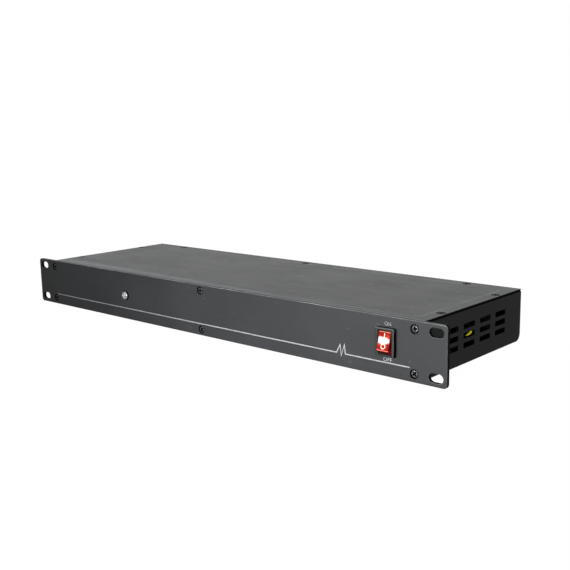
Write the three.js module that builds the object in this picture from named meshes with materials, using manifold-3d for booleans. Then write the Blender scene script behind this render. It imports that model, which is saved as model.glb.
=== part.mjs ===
// Rack-mounted DMX splitter, one unit high: one input, one through and eight outputs.
// Millimetres. +X is to the right seen from the front, +Y points to the rear, +Z is up.
// Each piece is modelled from the front panel's front face (y = 0) and its lower edge (z = 0).
// The whole is then moved along Y, so that the origin is the middle of its underside.

import * as THREE from 'three';
import { mergeVertices } from 'three/addons/utils/BufferGeometryUtils.js';
import Module from 'manifold-3d';

const wasm = await Module();
wasm.setup();

// Clearances and steps that several pieces share
const overrun = 1;
const slipFit = 0.15;
const runningFit = 0.3;
const bigCircleSides = 24;
const smallCircleSides = 12;
const cornerSteps = 3;

// Front panel, with the slots of the 19-inch rack standard
const panelWidth = 482.6;
const panelHeight = 44;
const panelThickness = 3;
const panelCornerRadius = 3;
const rackSlotLength = 11.5;
const rackSlotHeight = 6.8;
const rackSlotInset = 8.75;
const rackSlotSpacingZ = 31.75;

// Folded sheet case behind the panel
const sheet = 1.2;
const bendRadius = 1.6;
const rearBendRadius = 6;
const earWidth = 21.3;
const caseDepth = 142.2;
const caseFloor = 1;
const caseTop = 43.3;
const sideFlange = 10.5;
const frontFlange = 10;
const rearFlange = 14.5;
const rearFoot = 12;
const flangeEndGap = 0.3;
const coverSetback = 1.1;
const coverCornerRadius = 0.8;

// Ventilation slots in each side
const ventLength = 16;
const ventHeight = 4.2;
const ventCornerRadius = 1.1;
const ventColumns = 4;
const ventRows = 3;
const ventPitchY = 23.4;
const ventPitchZ = 7.2;
const ventFirstY = 41.6;
const ventLowestZ = 14.9;

// Countersunk screws that hold the panel, and shorter ones with a shallower head that hold the cover
const screwShankRadius = 1.5;
const screwHeadRadius = 2.8;
const screwSides = 12;
const crossWidth = 0.9;
const crossLength = 3.4;
const panelScrewLength = 8.5;
const panelScrewHeadDepth = 1.3;
const panelScrewCrossDepth = 1;
const panelScrewSink = 0.55;
const countersinkRadius = 3.5;
const panelScrewInset = 5;
const panelScrewSpacingZ = 31.8;
const panelScrewMiddleSpacingZ = 34;
const coverScrewLength = 5;
const coverScrewHeadDepth = 1;
const coverScrewCrossDepth = 0.7;
const coverSinkGap = 0.3;
const coverSinkDepth = 1.1;
const coverScrewSideInset = 4.5;
const coverScrewFrontY = 33;
const coverScrewBackInset = 33.6;
const coverScrewRearInset = 7.2;
const coverScrewCornerInset = 45;

// Rocker switch beside the right-hand screws
const switchInset = 28;
const switchZ = 25.4;
const bezelWidth = 15;
const bezelHeight = 21;
const bezelProud = 2.4;
const bezelCornerRadius = 1;
const switchBodyWidth = 13;
const switchBodyHeight = 18.8;
const switchBodyDepth = 14;
const switchPocketDepth = 7;
const terminalWidth = 4.8;
const terminalThickness = 0.8;
const terminalLength = 7;
const terminalPitch = 6;
const rockerWidth = 10.3;
const rockerPivotDepth = 0.5;
const rockerRadius = 7.8;
const rockerFaceEndAngle = 55;
const rockerFaceTilt = 4;
const rockerRestAngle = 14;
const rockerBackDepth = 3;
const rockerBackHalfHeight = 4;
const rockerArcSteps = 5;
const trunnionRadius = 1.2;
const trunnionLength = 0.7;

// Status lamp: a clear 5 mm diode in a screwed metal holder
const ledX = -102;
const ledZ = 22.2;
const ledRadius = 2.45;
const ledDomeStart = 1;
const ledDomeHeight = 1.9;
const ledDomeSteps = 5;
const ledRimRadius = 2.9;
const ledRimThickness = 1;
const ledHolderRadius = 3.8;
const ledHolderProud = 1.5;
const ledHolderChamfer = 0.5;
const ledShankRadius = 3.1;
const ledShankLength = 7.5;
const ledNutFlats = 8;
const ledNutThickness = 2;

// Round three-pole connectors in the rear panel
const connectorHeight = 23;
const inletToInput = 56;
const lastOutputInset = 24;
const outputCount = 8;
const flangeWidth = 26;
const flangeHeight = 31;
const flangeThickness = 2.2;
const flangeCornerRadius = 3;
const shellRadius = 11.8;
const shellDepth = 20;
const socketRadius = 9.6;
const socketDepth = 13;
const insertRadius = 7.7;
const insertRecess = 1;
const contactCircleRadius = 4.3;
const contactAngles = [20, 160, 270];
const contactHoleRadius = 1.3;
const contactHoleDepth = 9;
const contactHoleSides = 8;
const contactPinRadius = 1.2;
const contactPinLength = 11.5;

// Spring latch above each female connector
const latchWidth = 9;
const latchHeight = 4;
const latchThickness = 2.6;
const latchTravel = 1.5;
const latchStemWidth = 6.4;
const latchStemThickness = 1.1;
const latchStemLength = 5;

// Mains inlet with a fuse drawer
const inletInset = 27;
const inletZ = 24.1;
const inletFlangeWidth = 30.6;
const inletFlangeRim = 1.4;
const inletFlangeThickness = 2.4;
const inletCornerRadius = 2;
const inletBodyWidth = 27;
const inletBodyDepth = 23;
const inletRecessWidth = 24.4;
const inletRecessHeight = 16.6;
const inletRecessDepth = 17;
const inletRecessChamfer = 4.5;
const inletRecessBottom = 1.9;
const bladeWidth = 2;
const bladeHeight = 4;
const bladeFrontLength = 12;
const bladeTail = 8;
const bladeSpacingX = 14;
const bladeSpacingZ = 4;
const drawerWidth = 24.6;
const drawerHeight = 8;
const drawerDepth = 15;
const drawerFaceThickness = 2;
const drawerTopWall = 1.8;
const recessToDrawer = 2.3;
const drawerProud = 0.6;
const drawerGripWidth = 6;
const drawerGripHeight = 1.8;
const fuseRadius = 2.6;
const fuseLength = 20;
const fuseSetback = 3;

// Boards inside
const pillarRadius = 3;
const pillarHeight = 5.8;
const boardThickness = 1.6;
const mainBoardSideGap = 14;
const mainBoardInletGap = 33;
const mainBoardRearGap = 9.2;
const boardGap = 8;
const mainBoardPillarInset = 6;
const driverChipLength = 10;
const driverChipWidth = 7.5;
const driverChipHeight = 2.6;
const driverChipSetback = 22;
const powerBoardDepth = 42;
const powerBoardFrontGap = 13;
const powerBoardPillarInset = 5;
const coreWidth = 28;
const coreDepth = 24;
const coreHeight = 20;
const coreLegShare = 0.26;
const windingProud = 3;
const capacitorRadius = 8;
const capacitorHeight = 22;
const capacitorInsetX = 14;
const capacitorGap = 2;
const heatsinkLength = 30;
const heatsinkThickness = 2;
const heatsinkHeight = 22;
const heatsinkInset = 4;
const heatsinkFoot = 10;
const heatsinkGap = 10;

// Earth stud and the wires that the case holds
const studInset = 19;
const studY = 66;
const studRadius = 2;
const studHeight = 9;
const studNutFlats = 7;
const studNutHeight = 3.2;
const wireRadius = 1.2;
const wireSides = 8;
const wireSteps = 28;
const wireStub = 3;
const wireFloorGap = 1.1;
const studWireGap = 1;
const lineLane = 2;
const neutralLane = 9;
const leadOverlap = 12;
const ledLeadShift = 8;
const supplyLeadInset = 4;
const supplyLeadHump = 2;

// Derived places
const caseWidth = panelWidth - 2 * earWidth;
const caseRear = panelThickness + caseDepth;
const switchX = caseWidth / 2 - switchInset;
const inletX = caseWidth / 2 - inletInset;
const connectorFirstX = inletX - inletToInput;
const connectorPitch = (connectorFirstX + caseWidth / 2 - lastOutputInset) / (outputCount + 1);
const powerBoardFront = panelThickness + powerBoardFrontGap;
const powerBoardBack = powerBoardFront + powerBoardDepth;
const powerBoardRight = inletX - mainBoardInletGap;
const heatsinkRoom = heatsinkGap + heatsinkFoot + heatsinkInset;
const transformerX = powerBoardRight - heatsinkRoom - coreWidth / 2;
const capacitorX = transformerX - coreWidth / 2 - capacitorGap - capacitorRadius;
const powerBoardLeft = capacitorX - capacitorInsetX;
const mainBoardLeft = mainBoardSideGap - caseWidth / 2;
const mainBoardRight = powerBoardRight;
const mainBoardFront = powerBoardBack + boardGap;
const mainBoardBack = caseRear - mainBoardRearGap;
const studX = caseWidth / 2 - studInset;
const caseInside = caseWidth / 2 - sheet;
const trayTop = caseTop - sheet;
const floorTop = caseFloor + sheet;
const flangeEnd = caseWidth / 2 - sideFlange - flangeEndGap;
const coverFront = panelThickness + coverSetback;
const panelMiddle = panelHeight / 2;
const boardUnderside = floorTop + pillarHeight;
const boardTop = boardUnderside + boardThickness;
const recessTop = inletRecessBottom + inletRecessHeight;
const inletBodyHeight = recessTop + recessToDrawer + drawerHeight + drawerTopWall;
const inletFlangeHeight = inletBodyHeight + 2 * inletFlangeRim;
const recessMiddle = recessTop - inletRecessHeight / 2 - inletBodyHeight / 2;
const drawerMiddle = inletBodyHeight / 2 - drawerTopWall - drawerHeight / 2;

// Finishes
const finishes = {
  blackPowderCoat: { color: 0x3c3d3f, roughness: 0.55, metalness: 0.1 },
  anodisedPanel: { color: 0x4a4c4e, roughness: 0.5, metalness: 0.2 },
  blackZinc: { color: 0x1a1a1b, roughness: 0.4, metalness: 0.8 },
  blackNylon: { color: 0x141414, roughness: 0.6, metalness: 0 },
  redClear: { color: 0xc41a12, roughness: 0.2, metalness: 0 },
  nickel: { color: 0xc8c6c0, roughness: 0.25, metalness: 1 },
  clearLens: { color: 0xe6ecec, roughness: 0.1, metalness: 0 },
  tinPlate: { color: 0xb9b8b2, roughness: 0.35, metalness: 1 },
  boardGreen: { color: 0x1f5a35, roughness: 0.5, metalness: 0 },
  ferrite: { color: 0x2a2a2c, roughness: 0.7, metalness: 0 },
  earthSleeve: { color: 0xc9c81e, roughness: 0.5, metalness: 0 },
  brownSleeve: { color: 0x5a3420, roughness: 0.5, metalness: 0 },
  blueSleeve: { color: 0x1f4fa0, roughness: 0.5, metalness: 0 },
  redSleeve: { color: 0xa81c18, roughness: 0.5, metalness: 0 },
  bareAluminium: { color: 0xb6b8ba, roughness: 0.4, metalness: 1 },
  glassTube: { color: 0xd8dedc, roughness: 0.15, metalness: 0 },
};

const radians = THREE.MathUtils.degToRad;

// A closed geometry as a solid that can be joined and cut
function solid(geometry) {
  const bare = geometry.clone();
  bare.deleteAttribute('normal');
  bare.deleteAttribute('uv');
  const merged = mergeVertices(bare);
  return new wasm.Manifold(new wasm.Mesh({
    numProp: 3,
    vertProperties: new Float32Array(merged.attributes.position.array),
    triVerts: new Uint32Array(merged.index.array),
  }));
}

// A solid as a geometry again
function geometryOf(body) {
  const mesh = body.getMesh();
  const geometry = new THREE.BufferGeometry();
  geometry.setAttribute('position', new THREE.BufferAttribute(mesh.vertProperties, 3));
  geometry.setIndex(new THREE.BufferAttribute(mesh.triVerts, 1));
  geometry.computeVertexNormals();
  return geometry;
}

function joined(bodies) {
  return bodies.reduce((whole, body) => whole.add(body));
}

function cutBy(body, cutters) {
  return cutters.reduce((rest, cutter) => rest.subtract(cutter), body);
}

// A block between two corners
function block(low, high) {
  const size = high.map((value, axis) => value - low[axis]);
  const middle = high.map((value, axis) => (value + low[axis]) / 2);
  return solid(new THREE.BoxGeometry(...size).translate(...middle));
}

// Points of an arc, angles in degrees from the first axis
function arc(centreU, centreV, radius, from, to, steps) {
  return Array.from({ length: steps + 1 }, (_, i) => {
    const angle = radians(from + (to - from) * i / steps);
    return new THREE.Vector2(centreU + radius * Math.cos(angle), centreV + radius * Math.sin(angle));
  });
}

// Outline of a rectangle with round corners, about its own middle unless a middle is given
function roundedRectangle(width, height, radius, steps, centreU = 0, centreV = 0) {
  const u = width / 2 - radius;
  const v = height / 2 - radius;
  return [
    ...arc(centreU + u, centreV + v, radius, 0, 90, steps),
    ...arc(centreU - u, centreV + v, radius, 90, 180, steps),
    ...arc(centreU - u, centreV - v, radius, 180, 270, steps),
    ...arc(centreU + u, centreV - v, radius, 270, 360, steps),
  ];
}

// A plate with its outline in one plane, from a first level to a second along the third axis
function extruded(outline, depth) {
  return new THREE.ExtrudeGeometry(new THREE.Shape(outline), { depth, bevelEnabled: false });
}

function plateAlongX(outline, from, to) {
  const plate = extruded(outline, to - from);
  return solid(plate.rotateX(Math.PI / 2).rotateZ(Math.PI / 2).translate(from, 0, 0));
}

function plateAlongY(outline, from, to) {
  return solid(extruded(outline, to - from).rotateX(Math.PI / 2).translate(0, to, 0));
}

function plateAlongZ(outline, from, to) {
  return solid(extruded(outline, to - from).translate(0, 0, from));
}

// Round rods along each axis; along Y and Z the end radii can differ
function rodAlongY(startRadius, endRadius, from, to, x, z, sides) {
  const rod = new THREE.CylinderGeometry(endRadius, startRadius, to - from, sides);
  return solid(rod.translate(x, (from + to) / 2, z));
}

function rodAlongZ(startRadius, endRadius, from, to, x, y, sides) {
  const rod = new THREE.CylinderGeometry(endRadius, startRadius, to - from, sides);
  return solid(rod.rotateX(Math.PI / 2).translate(x, y, (from + to) / 2));
}

function rodAlongX(radius, from, to, y, z, sides) {
  const rod = new THREE.CylinderGeometry(radius, radius, to - from, sides);
  return solid(rod.rotateZ(Math.PI / 2).translate((from + to) / 2, y, z));
}

// A turned piece about the Y axis; the profile climbs outside and returns inside
function turned(profile, sides) {
  return solid(new THREE.LatheGeometry(profile.map(([r, y]) => new THREE.Vector2(r, y)), sides));
}

// A hexagon by its width across flats
function hexagon(flats) {
  return arc(0, 0, flats / 2 / Math.cos(radians(30)), 0, 360, 6).slice(0, 6);
}

// The six places of the panel's screws: two at each end and two in the middle
function panelScrewPlaces() {
  const ends = [-1, 1].flatMap((side) => [-1, 1].map((level) => (
    [side * (caseWidth / 2 - panelScrewInset), panelMiddle + level * panelScrewSpacingZ / 2])));
  const middles = [-1, 1].map((level) => [0, panelMiddle + level * panelScrewMiddleSpacingZ / 2]);
  return [...ends, ...middles];
}

// The seven places of the cover's screws: two along each side and three along the rear
function coverScrewPlaces() {
  const sideX = caseWidth / 2 - coverScrewSideInset;
  const levels = [coverScrewFrontY, caseRear - coverScrewBackInset];
  const sides = [-1, 1].flatMap((side) => levels.map((y) => [side * sideX, y]));
  const cornerX = caseWidth / 2 - coverScrewCornerInset;
  const rears = [-1, 0, 1].map((step) => [step * cornerX, caseRear - coverScrewRearInset]);
  return [...sides, ...rears];
}

function frontPanel() {
  const outline = roundedRectangle(panelWidth, panelHeight, panelCornerRadius, cornerSteps, 0, panelMiddle);
  const slots = [-1, 1].flatMap((side) => [-1, 1].map((level) => {
    const x = side * (panelWidth / 2 - rackSlotInset);
    const z = panelMiddle + level * rackSlotSpacingZ / 2;
    const slot = roundedRectangle(rackSlotLength, rackSlotHeight, rackSlotHeight / 2, cornerSteps, x, z);
    return plateAlongY(slot, -overrun, panelThickness + overrun);
  }));
  const holeRadius = screwShankRadius + slipFit;
  const sinkRadius = countersinkRadius + overrun;
  const sinkDepth = countersinkRadius - holeRadius;
  const holes = panelScrewPlaces().flatMap(([x, z]) => [
    rodAlongY(holeRadius, holeRadius, -overrun, panelThickness + overrun, x, z, screwSides),
    rodAlongY(sinkRadius, holeRadius, -overrun, sinkDepth, x, z, screwSides),
  ]);
  const ledHoleRadius = ledShankRadius + slipFit;
  const ledHole = rodAlongY(
    ledHoleRadius, ledHoleRadius, -overrun, panelThickness + overrun, ledX, ledZ, bigCircleSides);
  const halfWidth = switchBodyWidth / 2 + slipFit;
  const halfHeight = switchBodyHeight / 2 + slipFit;
  const switchHole = block(
    [switchX - halfWidth, -overrun, switchZ - halfHeight],
    [switchX + halfWidth, panelThickness + overrun, switchZ + halfHeight]);
  return cutBy(plateAlongY(outline, 0, panelThickness), [...slots, ...holes, ledHole, switchHole]);
}

// Section of a folded wall seen along X: floor, bend, wall, bend and top flange.
// The wall's outer face is at u = 0 and the sheet runs towards +u.
function foldedWall(floorLength, lowerBend, topFlange) {
  const inner = Math.max(lowerBend - sheet, 0);
  const topInner = Math.max(bendRadius - sheet, 0);
  return [
    new THREE.Vector2(floorLength, caseFloor),
    ...arc(lowerBend, caseFloor + lowerBend, lowerBend, 270, 180, cornerSteps),
    ...arc(bendRadius, trayTop - bendRadius, bendRadius, 180, 90, cornerSteps),
    new THREE.Vector2(topFlange, trayTop),
    new THREE.Vector2(topFlange, trayTop - sheet),
    ...arc(bendRadius, trayTop - bendRadius, topInner, 90, 180, cornerSteps),
    ...arc(lowerBend, caseFloor + lowerBend, inner, 180, 270, cornerSteps),
    new THREE.Vector2(floorLength, floorTop),
  ];
}

// The ends of a top flange are cut short, so that it stays clear of the side flanges
function flangeEndCuts(from, to) {
  return [-1, 1].map((side) => block(
    [Math.min(side * flangeEnd, side * (caseInside + overrun)), from, trayTop - sheet - flangeEndGap],
    [Math.max(side * flangeEnd, side * (caseInside + overrun)), to, trayTop + overrun]));
}

// The hole of a cover screw through a top flange
function flangeHole(x, y) {
  const holeRadius = screwShankRadius + slipFit;
  return rodAlongZ(holeRadius, holeRadius, trayTop - sheet - overrun, trayTop + overrun, x, y, screwSides);
}

// Pillar places under a board, one near each corner and more between on a long one
function pillarPlaces(left, right, front, back, inset, columns) {
  const step = (right - left - 2 * inset) / (columns - 1);
  return Array.from({ length: columns }, (_, i) => left + inset + i * step)
    .flatMap((x) => [[x, front + inset], [x, back - inset]]);
}

function chassisBase() {
  const wall = foldedWall(caseDepth - rearFoot, bendRadius, frontFlange)
    .map((point) => new THREE.Vector2(panelThickness + point.x, point.y));
  const tray = plateAlongX(wall, -caseInside, caseInside);
  const places = [
    ...pillarPlaces(
      mainBoardLeft, mainBoardRight, mainBoardFront, mainBoardBack, mainBoardPillarInset, 3),
    ...pillarPlaces(
      powerBoardLeft, powerBoardRight, powerBoardFront, powerBoardBack, powerBoardPillarInset, 2),
  ];
  const pillars = places.map(([x, y]) => (
    rodAlongZ(pillarRadius, pillarRadius, caseFloor, boardUnderside, x, y, smallCircleSides)));
  const holeRadius = screwShankRadius + slipFit;
  const wallBack = panelThickness + sheet + overrun;
  const screwHoles = panelScrewPlaces().map(([x, z]) => rodAlongY(
    holeRadius, holeRadius, panelThickness - overrun, wallBack, x, z, screwSides));
  const ledHole = rodAlongY(
    ledNutFlats, ledNutFlats, panelThickness - overrun, wallBack, ledX, ledZ, bigCircleSides);
  const halfWidth = switchBodyWidth / 2 + sheet;
  const halfHeight = switchBodyHeight / 2 + slipFit;
  const switchHole = block(
    [switchX - halfWidth, panelThickness - overrun, switchZ - halfHeight],
    [switchX + halfWidth, wallBack, switchZ + halfHeight]);
  const ends = flangeEndCuts(panelThickness - overrun, panelThickness + frontFlange + overrun);
  return cutBy(joined([tray, ...pillars]), [...screwHoles, ledHole, switchHole, ...ends]);
}

// One side: a wall with a top flange, vent slots and a round lower rear corner
function sidePanel(side) {
  const outer = caseWidth / 2;
  const topInner = Math.max(bendRadius - sheet, 0);
  const section = [
    new THREE.Vector2(outer, caseFloor),
    ...arc(outer - bendRadius, trayTop - bendRadius, bendRadius, 0, 90, cornerSteps),
    new THREE.Vector2(outer - sideFlange, trayTop),
    new THREE.Vector2(outer - sideFlange, trayTop - sheet),
    ...arc(outer - bendRadius, trayTop - bendRadius, topInner, 90, 0, cornerSteps),
    new THREE.Vector2(outer - sheet, caseFloor),
  ].map((point) => new THREE.Vector2(side * point.x, point.y));
  const wall = plateAlongY(section, panelThickness, caseRear);
  const inner = Math.min(side * (outer - sheet - overrun), side * (outer + overrun));
  const far = Math.max(side * (outer - sheet - overrun), side * (outer + overrun));
  const vents = Array.from({ length: ventColumns * ventRows }, (_, i) => {
    const y = ventFirstY + (i % ventColumns) * ventPitchY;
    const z = ventLowestZ + Math.floor(i / ventColumns) * ventPitchZ;
    const vent = roundedRectangle(ventLength, ventHeight, ventCornerRadius, cornerSteps - 1, y, z);
    return plateAlongX(vent, inner, far);
  });
  const corner = [
    new THREE.Vector2(caseRear + overrun, caseFloor - overrun),
    new THREE.Vector2(caseRear + overrun, caseFloor + rearBendRadius),
    ...arc(caseRear - rearBendRadius, caseFloor + rearBendRadius, rearBendRadius, 0, -90, 2 * cornerSteps),
    new THREE.Vector2(caseRear - rearBendRadius, caseFloor - overrun),
  ];
  const flangeFrom = Math.min(side * (outer - sideFlange - overrun), side * (outer - sheet));
  const flangeTo = Math.max(side * (outer - sideFlange - overrun), side * (outer - sheet));
  const frontRelief = block(
    [flangeFrom, panelThickness - overrun, trayTop - sheet - flangeEndGap],
    [flangeTo, panelThickness + bendRadius, trayTop + overrun]);
  const rearRelief = block(
    [flangeFrom, caseRear - bendRadius, trayTop - sheet - flangeEndGap],
    [flangeTo, caseRear + overrun, trayTop + overrun]);
  const holes = coverScrewPlaces().filter(([x, y]) => x * side > flangeEnd && y < caseRear)
    .map(([x, y]) => flangeHole(x, y));
  return cutBy(wall, [...vents, plateAlongX(corner, inner, far), frontRelief, rearRelief, ...holes]);
}

// Centres of the round connectors along the rear, from the input to the last output
function connectorX(index) {
  return connectorFirstX - index * connectorPitch;
}

function rearPanel() {
  const wall = foldedWall(rearFoot, rearBendRadius, rearFlange)
    .map((point) => new THREE.Vector2(caseRear - point.x, point.y));
  const back = plateAlongX(wall, -caseInside, caseInside);
  const from = caseRear - sheet - overrun;
  const to = caseRear + overrun;
  const shellHoleRadius = shellRadius + slipFit;
  const connectorHoles = Array.from({ length: outputCount + 2 }, (_, i) => rodAlongY(
    shellHoleRadius, shellHoleRadius, from, to, connectorX(i), connectorHeight, bigCircleSides));
  const halfWidth = inletBodyWidth / 2 + slipFit;
  const halfHeight = inletBodyHeight / 2 + slipFit;
  const inletHole = block(
    [inletX - halfWidth, caseRear - inletBodyDepth, inletZ - halfHeight],
    [inletX + halfWidth, to, inletZ + halfHeight]);
  const screwHoles = coverScrewPlaces().filter(([x]) => Math.abs(x) < flangeEnd)
    .map(([x, y]) => flangeHole(x, y));
  const ends = flangeEndCuts(caseRear - rearFlange - overrun, caseRear - bendRadius);
  return cutBy(back, [...connectorHoles, inletHole, ...screwHoles, ...ends]);
}

function topCover() {
  const outline = roundedRectangle(
    caseWidth, caseRear - coverFront, coverCornerRadius, cornerSteps, 0, (caseRear + coverFront) / 2);
  const holeRadius = screwShankRadius + slipFit;
  const sinkRadius = screwHeadRadius + coverSinkGap;
  const holes = coverScrewPlaces().flatMap(([x, y]) => [
    rodAlongZ(holeRadius, holeRadius, trayTop - overrun, caseTop + overrun, x, y, screwSides),
    rodAlongZ(holeRadius, sinkRadius, caseTop - coverSinkDepth, caseTop, x, y, screwSides),
  ]);
  return cutBy(plateAlongZ(outline, trayTop, caseTop), holes);
}

// A cross recess whose mouth is at y = 0, cut towards +Y
function crossRecess(depth) {
  const long = crossLength / 2;
  const thin = crossWidth / 2;
  return [
    block([-long, -overrun, -thin], [long, depth, thin]),
    block([-thin, -overrun, -long], [thin, depth, long]),
  ];
}

// Countersunk screw, its head's face at y = 0 and its shank towards +Y
function countersunkScrew(headDepth, length, recessDepth) {
  const body = turned([
    [0, 0],
    [screwHeadRadius, 0],
    [screwShankRadius, headDepth],
    [screwShankRadius, length],
    [0, length],
  ], screwSides);
  return cutBy(body, crossRecess(recessDepth));
}

// Switch housing about the middle of its bezel, with y = 0 on the panel's front face
function switchHousing() {
  const bezel = plateAlongY(
    roundedRectangle(bezelWidth, bezelHeight, bezelCornerRadius, cornerSteps), -bezelProud, 0);
  const body = block(
    [-switchBodyWidth / 2, -bezelProud / 2, -switchBodyHeight / 2],
    [switchBodyWidth / 2, switchBodyDepth, switchBodyHeight / 2]);
  const terminals = [-1, 0, 1].map((level) => block(
    [-terminalWidth / 2, switchBodyDepth, level * terminalPitch - terminalThickness / 2],
    [terminalWidth / 2, switchBodyDepth + terminalLength, level * terminalPitch + terminalThickness / 2]));
  const halfWidth = rockerWidth / 2 + runningFit;
  const halfHeight = rockerRadius + runningFit;
  const pocket = block(
    [-halfWidth, -bezelProud - overrun, -halfHeight], [halfWidth, switchPocketDepth, halfHeight]);
  const reach = rockerWidth / 2 + trunnionLength + slipFit;
  const bearing = rodAlongX(trunnionRadius + slipFit, -reach, reach, rockerPivotDepth, 0, smallCircleSides);
  return cutBy(joined([bezel, body, ...terminals]), [pocket, bearing]);
}

// Rocker about its pivot, before it is tilted: two shallow faces, round ends and a narrow back
function switchRocker() {
  const end = rockerFaceEndAngle;
  const endDepth = rockerRadius * Math.cos(radians(end));
  const endHeight = rockerRadius * Math.sin(radians(end));
  const valley = endDepth - endHeight * Math.tan(radians(rockerFaceTilt));
  const last = 90 + rockerRestAngle;
  const upper = arc(0, 0, rockerRadius, 180 - end, 180 - last, rockerArcSteps);
  const outline = [
    new THREE.Vector2(-valley, 0),
    ...upper,
    new THREE.Vector2(rockerBackDepth, rockerBackHalfHeight),
    new THREE.Vector2(rockerBackDepth, -rockerBackHalfHeight),
    ...upper.map((point) => new THREE.Vector2(point.x, -point.y)).reverse(),
  ];
  const paddle = plateAlongX(outline, -rockerWidth / 2, rockerWidth / 2);
  const reach = rockerWidth / 2 + trunnionLength;
  return paddle.add(rodAlongX(trunnionRadius, -reach, reach, 0, 0, smallCircleSides));
}

function ledHolder() {
  const bore = ledRadius + slipFit;
  return turned([
    [bore, -ledHolderProud],
    [ledHolderRadius - ledHolderChamfer, -ledHolderProud],
    [ledHolderRadius, -ledHolderProud + ledHolderChamfer],
    [ledHolderRadius, 0],
    [ledShankRadius, 0],
    [ledShankRadius, ledShankLength],
    [bore, ledShankLength],
    [bore, -ledHolderProud],
  ], bigCircleSides);
}

function ledLens() {
  const dome = Array.from({ length: ledDomeSteps }, (_, i) => {
    const angle = radians(90 * i / ledDomeSteps);
    return [ledRadius * Math.sin(angle), -ledDomeStart - ledDomeHeight * Math.cos(angle)];
  });
  return turned([
    ...dome,
    [ledRadius, -ledDomeStart],
    [ledRadius, ledShankLength],
    [ledRimRadius, ledShankLength],
    [ledRimRadius, ledShankLength + ledRimThickness],
    [0, ledShankLength + ledRimThickness],
  ], bigCircleSides);
}

function ledNut() {
  const nut = plateAlongY(hexagon(ledNutFlats), panelThickness, panelThickness + ledNutThickness);
  const bore = ledShankRadius + slipFit;
  return nut.subtract(rodAlongY(
    bore, bore, panelThickness - overrun, panelThickness + ledNutThickness + overrun, 0, 0, bigCircleSides));
}

// The three contact places about a connector's axis
function contactPlaces() {
  return contactAngles.map((angle) => (
    [contactCircleRadius * Math.cos(radians(angle)), contactCircleRadius * Math.sin(radians(angle))]));
}

// Flange and shell of a round connector, with y = 0 on the rear panel's outer face
function connectorShell() {
  const flange = plateAlongY(
    roundedRectangle(flangeWidth, flangeHeight, flangeCornerRadius, cornerSteps), 0, flangeThickness);
  const shell = rodAlongY(shellRadius, shellRadius, -shellDepth, flangeThickness / 2, 0, 0, bigCircleSides);
  const floor = flangeThickness - socketDepth;
  const mouth = flangeThickness + overrun;
  const socket = rodAlongY(socketRadius, socketRadius, floor, mouth, 0, 0, bigCircleSides);
  return joined([flange, shell]).subtract(socket);
}

function maleConnector() {
  const floor = flangeThickness - socketDepth;
  const pins = contactPlaces().map(([x, z]) => rodAlongY(
    contactPinRadius, contactPinRadius, floor - overrun, floor + contactPinLength, x, z, smallCircleSides));
  return joined([connectorShell(), ...pins]);
}

// Room for the latch's stem above the socket
function latchSlot() {
  const top = socketRadius + latchStemThickness;
  return block(
    [-latchStemWidth / 2 - runningFit, flangeThickness - latchStemLength - latchTravel - runningFit, 0],
    [latchStemWidth / 2 + runningFit, flangeThickness + overrun, top + runningFit]);
}

function femaleConnector() {
  const face = flangeThickness - insertRecess;
  const floor = flangeThickness - socketDepth;
  const insert = rodAlongY(insertRadius, insertRadius, floor - overrun, face, 0, 0, bigCircleSides);
  const holes = contactPlaces().map(([x, z]) => rodAlongY(
    contactHoleRadius, contactHoleRadius, face - contactHoleDepth, face + overrun, x, z, contactHoleSides));
  return cutBy(connectorShell().subtract(latchSlot()).add(insert), holes);
}

// Latch: a thumb tab proud of the flange on a flat stem, clear of the flange by its travel
function latch() {
  const bottom = socketRadius;
  const tabBack = flangeThickness + latchTravel + runningFit;
  const tab = block(
    [-latchWidth / 2, tabBack, bottom],
    [latchWidth / 2, tabBack + latchThickness, bottom + latchHeight]);
  const stem = block(
    [-latchStemWidth / 2, flangeThickness - latchStemLength, bottom],
    [latchStemWidth / 2, tabBack + latchThickness / 2, bottom + latchStemThickness]);
  return tab.add(stem);
}

// Outline of the mains recess: its two upper corners are cut off
function recessOutline() {
  const u = inletRecessWidth / 2;
  const v = inletRecessHeight / 2;
  return [
    [-u, -v], [u, -v], [u, v - inletRecessChamfer], [u - inletRecessChamfer, v],
    [inletRecessChamfer - u, v], [-u, v - inletRecessChamfer],
  ].map(([x, z]) => new THREE.Vector2(x, recessMiddle + z));
}

// Blade places in the recess: earth above, line and neutral below
function bladePlaces() {
  return [
    ['inlet_pin_earth', 0, recessMiddle + bladeSpacingZ / 2],
    ['inlet_pin_line', bladeSpacingX / 2, recessMiddle - bladeSpacingZ / 2],
    ['inlet_pin_neutral', -bladeSpacingX / 2, recessMiddle - bladeSpacingZ / 2],
  ];
}

function bladeBlock(x, z, grow, from, to) {
  return block(
    [x - bladeWidth / 2 - grow, from, z - bladeHeight / 2 - grow],
    [x + bladeWidth / 2 + grow, to, z + bladeHeight / 2 + grow]);
}

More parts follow.
